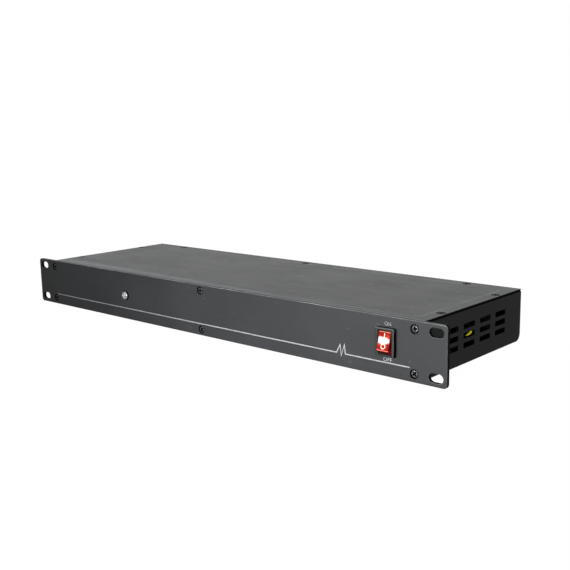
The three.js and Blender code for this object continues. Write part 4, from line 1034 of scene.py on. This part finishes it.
def rocker():
    centre = middle("switch_housing")
    pivot = Matrix.Translation((centre.x, ROCKER_PIVOT_DEPTH, centre.z))
    at_rest = pivot @ Matrix.Rotation(math.radians(-ROCKER_REST_TILT), 4, "X")
    slope = math.radians(ROCKER_FACE_TILT)
    end_depth, end_height = polar(0, 0, ROCKER_RADIUS, ROCKER_FACE_END)
    valley = end_depth - end_height * math.tan(slope)
    upper = arc(0, 0, ROCKER_RADIUS, 180 - ROCKER_FACE_END, 90 - ROCKER_REST_TILT, 14)
    outline = [(-valley, 0.0), *upper, ROCKER_BACK, (ROCKER_BACK[0], -ROCKER_BACK[1]),
               *[(y, -z) for y, z in reversed(upper)]]
    bm = bmesh.new()
    prism(bm, placer("x"), outline, -ROCKER_WIDTH / 2, ROCKER_WIDTH / 2)
    sharp = [edge for edge in bm.edges if edge.calc_face_angle() > math.radians(32.0)]
    reach, radius = ROCKER_WIDTH / 2 + TRUNNION_LENGTH, TRUNNION_RADIUS
    for side in (-1, 1):
        turned(bm, placer("x"), [
            (0, side * (reach - 2)), (radius, side * (reach - 2)), (radius, side * (reach - 0.1)),
            (radius - 0.1, side * reach), (0, side * reach)], 24)
    bmesh.ops.bevel(bm, geom=sharp, offset=ROCKER_EDGE, segments=2, profile=0.5, affect="EDGES",
                    clamp_overlap=True)
    mark(bm,
         (2, lambda at, normal: abs(normal.x) < 0.25 and -0.97 < normal.y < -0.3
          and -0.45 < abs(at.z) - end_height < 0.6),
         (1, lambda at, normal: abs(normal.x) > 0.25 or normal.y > -0.5 or abs(at.z) > end_height))
    bm.transform(at_rest)
    piece("rocker_paddle", bm, [ROCKER, ROCKER_SIDE, ROCKER_LIP], "red_clear_plastic", "switch_rocker",
          body="rocker")

    def on_face(sign):
        """Places (u, v, depth) on the upper or the lower half of the rocker's face, from its middle."""
        def place(u, v, depth):
            y = -valley - v * math.sin(slope) - depth * math.cos(slope)
            return Vector((u, y, sign * (v * math.cos(slope) - depth * math.sin(slope))))
        return place
    bm = bmesh.new()
    plate(bm, on_face(1), rectangle(BAR_SIZE, 0.25, (0.0, BAR_PLACE)), [], -0.05, 0.05)
    ring, ring_hole = (circle(size, (0.0, RING_PLACE), 40) for size in RING_RADII)
    plate(bm, on_face(-1), ring, [ring_hole], -0.05, 0.05)
    bm.transform(at_rest)
    piece("rocker_marks", bm, MARK, "red_clear_plastic", body="rocker")


# Status lamp

def status_lamp():
    centre = middle("led_lens")
    place = placer("y", (centre.x, 0.0, centre.z))
    bore = LENS_RADIUS + FIT
    radius, length = HOLDER_SHANK
    front, shoulder = -HOLDER_PROUD, HOLDER_RADIUS - HOLDER_ROUND

    def off_axis(at):
        return math.hypot(at.x - centre.x, at.z - centre.z)
    bm = bmesh.new()
    turned(bm, place, [
        (bore, front + 0.35), (bore + 0.35, front), (shoulder, front),
        *[(shoulder + r, front + HOLDER_ROUND - d) for r, d in arc(0, 0, HOLDER_ROUND, 75, 0, 5)],
        (HOLDER_RADIUS, 0), (radius, 0), (radius, length), (bore, length)], 64)
    # The bore's inside is painted black: painted shade in the gap round the lens
    mark(bm, (1, lambda at, normal: off_axis(at) < bore + 0.1 and at.y > front + 0.5))
    piece("lamp_holder", bm, [CHROME, BLACK_AND_SHADE], "nickel_plate", "led_holder")
    # A thin black ring round the holder: painted shade where a dark ring of shade lies round it
    shadow_ring = bmesh.new()
    turned(shadow_ring, place, [(HOLDER_RADIUS + out, depth) for out, depth in (
        (0.05, -0.02), (0.05, -0.5), (0.55, -0.5), (0.8, -0.3), (0.8, -0.02))], 64)
    piece("lamp_washer", shadow_ring, BLACK_AND_SHADE, "black_nylon")
    bm = bmesh.new()
    rim = extent("led_lens")[1].y
    turned(bm, place, [*dome(LENS_RADIUS, -LENS_DOME, -LENS_SHOULDER, 9), (LENS_RADIUS, length),
                       (LENS_FLANGE, length), (LENS_FLANGE, rim), (0, rim)])
    piece("lamp_lens", bm, EPOXY, "clear_epoxy", "led_lens")
    bm = bmesh.new()
    turned(bm, place, [(0, 0.4), (0.5, 0.4), (1.3, -0.6), (1.6, -0.6), (1.6, 1.6), (0, 1.6)], 32)
    for side in (-1, 1):
        x, z, half = centre.x + side * LEAD_SPACING, centre.z, LEAD_HALF
        block(bm, (x - half, 1.6, z - half), (x + half, 7.2, z + half), 0.08)
    mark(bm, (1, lambda at, normal: off_axis(at) < 0.6 and at.y < 1.0))
    piece("lamp_cup", bm, [CUP_GLOW, BLACK_AND_SHADE], "clear_epoxy")
    low, high, _ = extent("led_nut")
    bm = bmesh.new()
    plate(bm, place, hexagon(LAMP_NUT_HALF, 4.6), [circle(radius + FIT)], low.y, high.y, 0.2)
    piece("lamp_nut", bm, NICKEL, "nickel_plate", "led_nut")


# Round connectors

def lip(top, edge, turn):
    """Profile of a wall from 0 to top with its arris rounded; turn is the round's middle, across and down."""
    return [(edge, top), (turn[0], top - turn[1]), (0.0, top - abs(edge)), (0.0, 0.0)]


def keyhole(grow):
    """The socket's bore with the latch's slot above it."""
    half, top = LATCH_SLOT[0] / 2 + grow, LATCH_SLOT[1] + grow
    radius = SOCKET_RADIUS + grow
    start = math.degrees(math.acos(half / radius))
    return [(half, top), (-half, top)] + arc(0, 0, radius, 180 - start, 360 + start, 56)


def flange(bm, place, opening):
    top = FLANGE_THICKNESS
    sink = [(1.5, top), (1.4, top - 0.1), (0.0, top - 1.5), (0.0, 0.0)]
    pierced(bm, place, (rectangle(FLANGE_SIZE, FLANGE_CORNER), lip(top, -0.45, (-0.13, 0.13))),
            (opening, lip(top, 0.7, (0.25, 0.2))),
            *[(circle(1.7, [sign * off for off in FLANGE_SCREW], 24), sink) for sign in (-1, 1)])
    floor, shell = top - SOCKET_DEPTH, circle(SHELL_RADIUS, sides=64)
    plate(bm, place, shell, [opening], floor, 0.0)
    plate(bm, place, shell, [], -SHELL_DEPTH, floor, 0.5)


CONTACTS = [polar(0, 0, CONTACT_CIRCLE, angle) for angle in CONTACT_ANGLES]


def connector(node):
    centre, rear = middle(node), extent("rear_panel")[1].y
    place = placer("y", (centre.x, rear, centre.z))
    floor, face = FLANGE_THICKNESS - SOCKET_DEPTH, FLANGE_THICKNESS - INSERT_RECESS
    bm, metal = bmesh.new(), bmesh.new()
    if node == "dmx_input":
        flange(bm, place, circle(SOCKET_RADIUS, sides=64))
        block(bm, (centre.x - 1.1, rear + floor, centre.z - SOCKET_RADIUS),
              (centre.x + 1.1, rear + 0.6, centre.z - 8.3), 0.2)
        tip = floor + PIN_LENGTH
        contact = [*dome(PIN_RADIUS, PIN_RADIUS, tip - PIN_RADIUS, 15), (PIN_RADIUS, floor - 0.5),
                   (0, floor - 0.5)]
    else:
        flange(bm, place, keyhole)
        insert, bottom = circle(INSERT_RADIUS, sides=64), face - CONTACT_DEPTH
        holes = [circle(CONTACT_HOLE, at, 24) for at in CONTACTS]
        plate(bm, place, insert, holes, bottom, face, 0.35, 0.25)
        plate(bm, place, insert, [], floor, bottom)
        bore, tube = TUBE_RADII
        contact = [(bore, face - 0.9), (tube, face - 0.9), (tube, bottom + 0.05), (bore, bottom + 0.05)]
    for u, v in CONTACTS:
        turned(metal, placer("y", (centre.x + u, rear, centre.z + v)), contact, 24)
    piece(node + "_shell", bm, NYLON, "connector_nylon", node)
    piece(node + "_contacts", metal, SILVER, "connector_nylon")


def connector_screws():
    rear = extent("rear_panel")[1].y + FLANGE_THICKNESS - 0.15
    places = [(middle(n).x + sign * FLANGE_SCREW[0], rear, middle(n).z + sign * FLANGE_SCREW[1])
              for n in CONNECTORS for sign in (-1, 1)]
    copies("connector_screws", flat_head_screw(FLANGE_SCREW_LENGTH, PANEL_HEAD_DEPTH), places, ZINC,
           "black_zinc", lean=-90.0, size=1.05, turn=90.0, seed=11)


def latch(node):
    low, high, centre = extent(node)
    tab_back, face, half = high.y - LATCH_THICKNESS, high.y - LATCH_RIB, LATCH_STEM[0] / 2
    bm, rib = bmesh.new(), bmesh.new()
    block(bm, (low.x, tab_back, low.z), (high.x, face, high.z), 0.55, 3)
    block(bm, (centre.x - half, low.y, low.z), (centre.x + half, tab_back + 0.5, low.z + LATCH_STEM[1]), 0.15)
    piece(node + "_plate", bm, LATCH, "latch_plastic", node, body=node + "_tab")
    block(rib, (-half, -LATCH_RIB, -0.14), (half, LATCH_RIB, 0.14), 0.08, 1)
    places = [(centre.x, face, low.z + 1.1 + RIB_PITCH * step) for step in range(4)]
    copies(node + "_grip", rib, places, LATCH, "latch_plastic", body=node + "_tab")


# Mains inlet

def recess(grow):
    """The mains recess, with its two upper corners cut off."""
    half_u, half_v = RECESS_SIZE[0] / 2 + grow, RECESS_SIZE[1] / 2 + grow
    level = RECESS_BOTTOM + RECESS_SIZE[1] / 2 - INLET_BODY[1] / 2
    cut, bend = RECESS_CHAMFER + grow * 0.6, RECESS_CORNER
    return [(u, level + v) for u, v in (
        (half_u, half_v - cut), (half_u - cut, half_v), (cut - half_u, half_v), (-half_u, half_v - cut),
        *arc(bend - half_u, bend - half_v, bend, 180, 270, 4),
        *arc(half_u - bend, bend - half_v, bend, 270, 360, 4))]


def inlet():
    centre = middle("power_inlet")
    place = placer("y", (centre.x, extent("rear_panel")[1].y, centre.z))
    face = INLET_FLANGE[2]
    floor, back = face - RECESS_SIZE[2], face + DRAWER_PROUD - DRAWER_SIZE[2] - 0.3
    bay = rectangle([size + 0.6 for size in DRAWER_SIZE[:2]], 0.4, (0.0, DRAWER_MIDDLE))
    body, mouth = rectangle(INLET_BODY[:2], 0.8), lip(face, 0.5, (0.12, 0.15))
    bm = bmesh.new()
    pierced(bm, place, (rectangle(INLET_FLANGE[:2], 2.0), lip(face, -0.6, (-0.18, 0.18))),
            (recess, mouth), (bay, mouth))
    plate(bm, place, body, [recess, bay], back, 0.0)
    plate(bm, place, body, [recess], floor, back)
    plate(bm, place, body, [], -INLET_BODY[2], floor, 0.4)
    piece("inlet_body", bm, NYLON, "connector_nylon", "power_inlet")
    for name in ("earth", "line", "neutral"):
        bm = bmesh.new()
        block(bm, *extent(f"inlet_pin_{name}")[:2], 0.35)
        piece(f"inlet_blade_{name}", bm, TIN, "tinned_brass", f"inlet_pin_{name}")


def fuse_drawer():
    low, high, centre = extent("fuse_drawer")
    fuse_low, fuse_high, fuse_centre = extent("fuse")
    room = Vector((0.3, 0.3, 0.3))
    bm, cutter = bmesh.new(), bmesh.new()
    block(bm, low, high, 0.35)
    block(cutter, fuse_low - room, (fuse_high.x + room.x, fuse_high.y + room.y, high.z + 1), 0)
    block(cutter, (centre.x - 3.0, high.y - 1.0, high.z - 1.8),
          (centre.x + 3.0, high.y + 1.0, high.z + 1.0), 0)
    piece("drawer_body", carved(bm, cutter), INSERT, "connector_nylon", "fuse_drawer", body="drawer")
    place = placer("x", fuse_centre)
    half, radius = (fuse_high.x - fuse_low.x) / 2, (fuse_high.z - fuse_low.z) / 2
    end, bore = half - FUSE_CAP, radius - 0.25
    tube, caps = bmesh.new(), bmesh.new()
    turned(tube, place, [(0, -end), (bore, -end), (bore, end), (0, end)], 32)
    piece("fuse_tube", tube, GLASS, "fuse_glass", "fuse", body="drawer")
    for side in (-1, 1):
        turned(caps, place, [(0, side * half), (radius - 0.3, side * half), (radius, side * (half - 0.3)),
                             (radius, side * end), (0, side * end)], 32)
    piece("fuse_caps", caps, NICKEL, "fuse_glass", body="drawer")


# Boards and what stands on them

def board(name, node, inset, columns):
    """A board with holes over its two rows of pillars. Gives the pillars' places on its upper face."""
    low, high, centre = extent(node)
    top, pitch = low.z + BOARD_THICKNESS, (high.x - low.x - 2 * inset) / (columns - 1)
    pillars = [(low.x + inset + pitch * i, y)
               for i in range(columns) for y in (low.y + inset, high.y - inset)]
    outer = rectangle((high.x - low.x, high.y - low.y), 1.0, (centre.x, centre.y))
    bm = bmesh.new()
    plate(bm, placer("z"), outer, [circle(PILLAR_HOLE, at, 24) for at in pillars], low.z, top, 0.1)
    piece(name, bm, BOARD, "circuit_board", node)
    return [(x, y, top) for x, y in pillars]


def boards():
    pillars = board("signal_board", "main_board", MAIN_PILLAR_INSET, 3)
    chip, legs, pins, screw = (bmesh.new() for _ in range(4))
    top, half_x, half_y = pillars[0][2], *CHIP_HALF
    chips = [(middle(n).x, extent("main_board")[0].y + CHIP_FRONT, top) for n in CONNECTORS]
    block(chip, (-half_x, -half_y, 0.0), (half_x, half_y, 2.6), 0.25)
    copies("driver_chips", chip, chips, CHIP, "circuit_board")
    for y in (-4.45, 4.45):
        for step in range(8):
            x = -4.45 + step * LEG_PITCH
            block(legs, (x - 0.2, y - 0.7, 0.0), (x + 0.2, y + 0.7, 0.9), 0.1, 1)
    copies("driver_chip_legs", legs, chips, TIN, "circuit_board")
    for u, _ in CONTACTS:
        block(pins, (u - 0.4, -0.4, 0.0), (u + 0.4, 0.4, 4.2), 0.1, 1)
    places = [(middle(n).x, CONTACT_PINS_AT, top) for n in CONNECTORS]
    copies("connector_pins", pins, places, TIN, "circuit_board")
    pillars = board("supply_board", "power_board", SUPPLY_PILLAR_INSET, 2) + pillars
    turned(screw, placer("z"), [(0, 1.4), (2.0, 1.4), (2.5, 0.8), (2.5, 0), (0, 0)], 24)
    copies("board_screws", cross_recess(screw, 1.4), pillars, TIN, "zinc_steel", turn=90.0, seed=3)


def transformer():
    low, high, centre = extent("transformer")
    core, winding = bmesh.new(), bmesh.new()
    for side, bottom in ((-1, low.z), (1, high.z - YOKE_HEIGHT)):
        x, y = centre.x + side * LIMB_PLACE, centre.y
        block(core, (x - LIMB_HALF, low.y + 3, low.z), (x + LIMB_HALF, high.y - 3, high.z), 0.4)
        block(core, (low.x, y - YOKE_HALF, bottom), (high.x, y + YOKE_HALF, bottom + YOKE_HEIGHT), 0.4)
    piece("transformer_core", core, FERRITE, "ferrite", "transformer")
    block(winding, (centre.x - WINDING_HALF, low.y, low.z + 0.4),
          (centre.x + WINDING_HALF, high.y, high.z - 3.1), 1.4, 4)
    piece("transformer_winding", winding, TAPE, "ferrite")


def capacitor():
    """A can in its sleeve, with the bead rolled in above its foot."""
    low, high, centre = extent("capacitor")
    radius = (high.x - low.x) / 2
    bm = bmesh.new()
    turned(bm, placer("z", (centre.x, centre.y, 0.0)), [
        (0, low.z), (radius - 0.6, low.z), (radius, low.z + 0.6), (radius, low.z + 2.2),
        (radius - 0.5, low.z + 2.8), (radius, low.z + 3.4), (radius, high.z - 0.6), (radius - 0.6, high.z),
        (radius - 1.4, high.z), (radius - 1.5, high.z - 0.3), (0, high.z - 0.3)])
    piece("capacitor_can", bm, SLEEVE, "capacitor_sleeve", "capacitor")


def heatsink():
    low, high, _ = extent("heatsink")
    bm, fin, (half_x, half_y) = bmesh.new(), bmesh.new(), FIN_HALF
    block(bm, (high.x - HEATSINK_PLATE, low.y, low.z), high, 0.2)
    block(bm, low, (high.x - HEATSINK_PLATE / 2, high.y, low.z + HEATSINK_PLATE), 0.2)
    piece("heatsink_plate", bm, ALUMINIUM, "bare_aluminium", "heatsink")
    block(fin, (-half_x, -half_y, 0.0), (half_x, half_y, high.z - low.z - 2.4), 0.15)
    places = [(high.x - 4.6, low.y + 2.5 + FIN_PITCH * step, low.z + 2.2) for step in range(6)]
    copies("heatsink_fins", fin, places, ALUMINIUM, "bare_aluminium")


def earth_stud():
    low, high, centre = extent("earth_stud")
    place = placer("z", (centre.x, centre.y, 0.0))
    levels = [low.z + 3.3 + i * THREAD_PITCH for i in range(14)]
    thread = [point for level in levels
              for point in ((STUD_RADIUS, level), (THREAD_ROOT, level + THREAD_PITCH / 2))]
    bm = bmesh.new()
    turned(bm, place, [(0, low.z), (STUD_RADIUS, low.z), *thread, (1.6, high.z), (0, high.z)], 24)
    bore = circle(STUD_RADIUS - 0.05, sides=24)
    plate(bm, place, hexagon(NUT_HALF, 4), [bore], low.z, low.z + NUT_HEIGHT, 0.25, 0.1)
    piece("earth_stud_and_nut", bm, TIN, "zinc_steel", "earth_stud")


# Wires

def smooth_route(points, per_span=14):
    """Points along a centripetal Catmull-Rom curve through the given ones."""
    points = [Vector(p) for p in points]
    padded = [2 * points[0] - points[1], *points, 2 * points[-1] - points[-2]]
    route = []
    for a, b, c, d in zip(padded, padded[1:], padded[2:], padded[3:]):
        knots = [0.0]
        for p, q in ((a, b), (b, c), (c, d)):
            knots.append(knots[-1] + max((q - p).length, 1e-6) ** 0.5)
        for i in range(per_span):
            t = knots[1] + (knots[2] - knots[1]) * i / per_span
            level = (a, b, c, d)
            for reach in (1, 2):
                level = [p.lerp(q, (t - s) / (e - s))
                         for p, q, s, e in zip(level, level[1:], knots, knots[reach:])]
            route.append(level[0].lerp(level[1], (t - knots[1]) / (knots[2] - knots[1])))
    return route + [points[-1]]


def wire(name, points, material, slot, node, shade_spans=(), sides=14):
    """A wire along its route, with its length and its turn as its UV map. Black sleeves, a little thicker than
    it, cover it between the pairs of shares of its length: painted shade where it lies in shade inside the
    case."""
    route = smooth_route(points)
    count = len(route)

    def covered(step):
        return any(start <= step / count <= end for start, end in shade_spans)
    bm = bmesh.new()
    uv = bm.loops.layers.uv.new("around")
    across = Vector((0, 0, 1))
    rings = []
    for i, point in enumerate(route):
        along = (route[min(i + 1, count - 1)] - route[max(i - 1, 0)]).normalized()
        across = (across - along * across.dot(along)).normalized()
        other = along.cross(across)
        girth = WIRE_RADIUS + (SHADE_SLEEVE_WALL if covered(i) else 0.0)
        rings.append([bm.verts.new(point + across * u + other * v)
                      for u, v in (polar(0, 0, girth, 360 * k / sides) for k in range(sides))])
    for i, (near, far) in enumerate(zip(rings, rings[1:])):
        for k, face in enumerate(skin(bm, near, far)):
            face.material_index = covered(i + 0.5)
            for loop, (step, turn) in zip(face.loops, ((i, k), (i, k + 1), (i + 1, k + 1), (i + 1, k))):
                loop[uv].uv = (step / count, turn / sides)
    for ring in (rings[0], rings[-1]):
        bm.faces.new(ring)
    bmesh.ops.recalc_face_normals(bm, faces=bm.faces)
    piece(name, bm, [material, SHADE_SLEEVE], slot, node, limit=60.0)


def between(start, end, shares):
    return [start[axis] + share * (end[axis] - start[axis]) for axis, share in enumerate(shares)]


def inlet_end(name):
    """Where a wire leaves its blade in the inlet."""
    node = f"inlet_pin_{name}"
    return middle(node).x, extent(node)[0].y, middle(node).z


def earth_wire():
    stub = WIRE_STUB
    x, y, z = start = inlet_end("earth")
    low, _, stud = extent("earth_stud")
    beside = (stud.x, y - 5 * stub, z - 2.4 * stub)
    end = (stud.x, stud.y + NUT_HALF + 1.0, low.z + WIRE_RADIUS + 1.0)
    route = [(x, y - WIRE_FIT, z), (x, y - stub, z), (x + stub - 1.1, y - 2 * stub, z),
             between(start, beside, (0.75, 0.54, 0.69)), beside,
             *[between(beside, end, s) for s in ((1, 0.21, 0.2), (1, 0.53, 0.5), (1, 0.78, 0.72))], end]
    wire("earth_wire_sleeved", route, EARTH, "earth_sleeve", "earth_wire", EARTH_SHADE_SPANS)


def mains_wire(name, level, lane, material, slot):
    """A wire from the inlet down to the base, along it, and up to the switch's terminal at that level."""
    stub, floor = WIRE_STUB, extent("chassis_base")[0].z + SHEET + WIRE_RADIUS + 1.1
    x, y, z = inlet_end(name)
    _, high, switch = extent("switch_housing")
    end = end_x, end_y, end_z = switch.x, high.y, switch.z + level * TERMINAL_SPACING
    dropped, under = (x, y, floor), (end_x - lane, end_y, floor)
    route = [(x, y - WIRE_FIT, z), (x, y - stub, z), (x, y - 2 * stub, z - stub),
             between(dropped, (under[0], end_y, z), (0.2, 0.12, 0.2)),
             *[between(dropped, under, s) for s in ((0.8, 0.24, 0), (1, 0.42, 0), (1, 0.69, 0))],
             between((under[0], y, floor), end, (0.5, 0.84, 0.28)),
             (end_x, end_y + 2 * stub, end_z - WIRE_RADIUS), (end_x, end_y + stub, end_z),
             (end_x, end_y + WIRE_FIT, end_z)]
    wire(f"{name}_wire_sleeved", route, material, slot, f"{name}_wire", MAINS_SHADE_SPANS)


def leads():
    """The status lamp's lead to the signal board, and the lead from the supply board to it."""
    _, high, lens = extent("led_lens")
    board_low = extent("main_board")[0]
    level = board_low.z + BOARD_THICKNESS + WIRE_RADIUS + WIRE_FIT
    lamp, edge = (lens.x, high.y, lens.z), (lens.x + 8.0, board_low.y, level)
    route = [(lens.x, high.y + WIRE_FIT, lens.z), (lens.x, high.y + WIRE_STUB, lens.z),
             *[between(lamp, edge, s) for s in ((0.25, 0.14, 0.27), (0.75, 0.48, 0.83), (1, 0.86, 0.85))],
             (edge[0], edge[1] + 4.0, level), (edge[0], edge[1] + 12.0, level)]
    wire("lamp_lead_sleeved", route, RED, "red_sleeve", "led_lead")
    low, high, _ = extent("power_board")
    route = [(low.x + 4.0, y, level + rise) for y, rise in (
        (high.y - 12.0, 0.0), (high.y - 4.0, 0.0), ((high.y + board_low.y) / 2, 2.0),
        (board_low.y + 4.0, 0.0), (board_low.y + 12.0, 0.0))]
    wire("supply_lead_sleeved", route, RED, "red_sleeve", "supply_lead")


# Studio

def ray_kinds(tree):
    """Whether a ray comes from the camera, and whether it comes by reflection or through glass."""
    rays = add(tree, "ShaderNodeLightPath").outputs
    mirrored = add(tree, "ShaderNodeMath", {0: rays["Is Glossy Ray"], 1: rays["Is Transmission Ray"]},
                   operation="MAXIMUM").outputs[0]
    return rays["Is Camera Ray"], mirrored


def studio():
    """A white backdrop and floor. What lights the object, and what its gloss reflects, is set apart from the
    white that the camera sees, and the floor keeps a soft shadow near the object."""
    world = bpy.context.scene.world = bpy.data.worlds.new("pale_studio")
    tree = cleared(world)
    seen, mirrored = ray_kinds(tree)
    levels = add(tree, "ShaderNodeMapRange", {0: mirrored, 3: WORLD_FILL, 4: WORLD_GLOSS}).outputs[0]
    strength = add(tree, "ShaderNodeMix", {0: seen, 2: levels, 3: 1.0}, data_type="FLOAT").outputs[0]
    white = add(tree, "ShaderNodeBackground", {"Color": "#ffffff", "Strength": strength})
    add(tree, "ShaderNodeOutputWorld", {0: white.outputs[0]})

    floor_material = bpy.data.materials.new("white_studio_floor")
    tree = cleared(floor_material)
    matt = add(tree, "ShaderNodeBsdfDiffuse", {"Color": (0.55, 0.55, 0.55, 1.0)})
    white, gloss = (add(tree, "ShaderNodeEmission", {"Color": "#ffffff", "Strength": strength})
                    for strength in (FLOOR_WHITE, FLOOR_GLOSS))
    away = add(tree, "ShaderNodeVectorMath", {
        0: add(tree, "ShaderNodeTexCoord").outputs["Object"]}, operation="LENGTH").outputs["Value"]
    clear = add(tree, "ShaderNodeMapRange", {0: away, 1: 0.45, 2: 1.3, 3: 0.95, 4: 1.0},
                interpolation_type="SMOOTHSTEP").outputs[0]
    seen, mirrored = ray_kinds(tree)
    share = add(tree, "ShaderNodeMath", {0: seen, 1: clear}, operation="MULTIPLY").outputs[0]
    lit = add(tree, "ShaderNodeMixShader", {0: mirrored, 1: matt.outputs[0], 2: gloss.outputs[0]})
    mixed = add(tree, "ShaderNodeMixShader", {0: share, 1: lit.outputs[0], 2: white.outputs[0]})
    add(tree, "ShaderNodeOutputMaterial", {0: mixed.outputs[0]})
    bm = bmesh.new()
    bmesh.ops.create_grid(bm, x_segments=1, y_segments=1, size=12.0)
    floor = object_of("studio_floor", bm)
    floor.data.transform(Matrix.Translation((0, 0, -0.0002)))
    floor.data.materials.append(floor_material)


def area_lamp(name, place, target, size, power, spread=180.0):
    lamp = bpy.data.lights.new(name, "AREA")
    lamp.shape, lamp.size, lamp.size_y, lamp.energy = "RECTANGLE", *size, power
    lamp.spread = math.radians(spread)
    made = linked(name, lamp)
    made.location = place
    made.rotation_euler = (Vector(target) - Vector(place)).to_track_quat("-Z", "Y").to_euler()
    made.visible_camera = False


def lamps():
    area_lamp("overhead_softbox", (-0.4, 0.32, 1.4), (-0.15, 0.05, 0.0), (1.8, 1.2), 18.8)
    area_lamp("front_strip", (0.12, -0.5, 0.022), (0.11, 0.0, 0.022), (0.3, 0.036), 0.48, 75.0)
    area_lamp("right_strip", (1.0, -0.2, 0.022), (0.22, 0.05, 0.022), (0.2, 0.036), 3.2)
    area_lamp("rear_strip", (0.0, 1.0, 0.022), (0.0, 0.07, 0.022), (0.4, 0.036), 9.0)
    area_lamp("left_strip", (-1.1, 0.1, 0.022), (-0.22, 0.0, 0.022), (0.3, 0.036), 4.0)


def camera():
    data = bpy.data.cameras.new("photo_view")
    data.sensor_width = 36.0
    data.lens = FOCAL_PIXELS / PHOTO_PIXELS * data.sensor_width
    data.clip_start, data.clip_end = 0.01, 50.0
    made = linked("photo_view", data)
    turns = ((CAMERA_YAW, "Z"), (math.pi / 2 - CAMERA_PITCH, "X"), (CAMERA_ROLL, "Z"))
    made.matrix_world = Matrix.Translation(TO_ROW @ CAMERA_PLACE)
    for angle, axis in turns:
        made.matrix_world = made.matrix_world @ Matrix.Rotation(angle, 4, axis)
    bpy.context.scene.camera = made


front_panel()
top_cover()
side_panel("side_panel_left", -1)
side_panel("side_panel_right", 1)
rear_panel()
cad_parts["chassis_base"].data.materials.clear()
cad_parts["chassis_base"].data.materials.append(CASE_SHADED_COAT)
screws()
prints()
switch_housing()
rocker()
status_lamp()
for name in CONNECTORS:
    connector(name)
connector_screws()
for name in LATCHES:
    latch(name)
inlet()
fuse_drawer()
boards()
transformer()
capacitor()
heatsink()
earth_stud()
earth_wire()
mains_wire("line", 1, 2.0, BROWN, "brown_sleeve")
mains_wire("neutral", -1, 9.0, BLUE, "blue_sleeve")
leads()
studio()
lamps()
camera()
bpy.context.scene.view_settings.view_transform = "Standard"
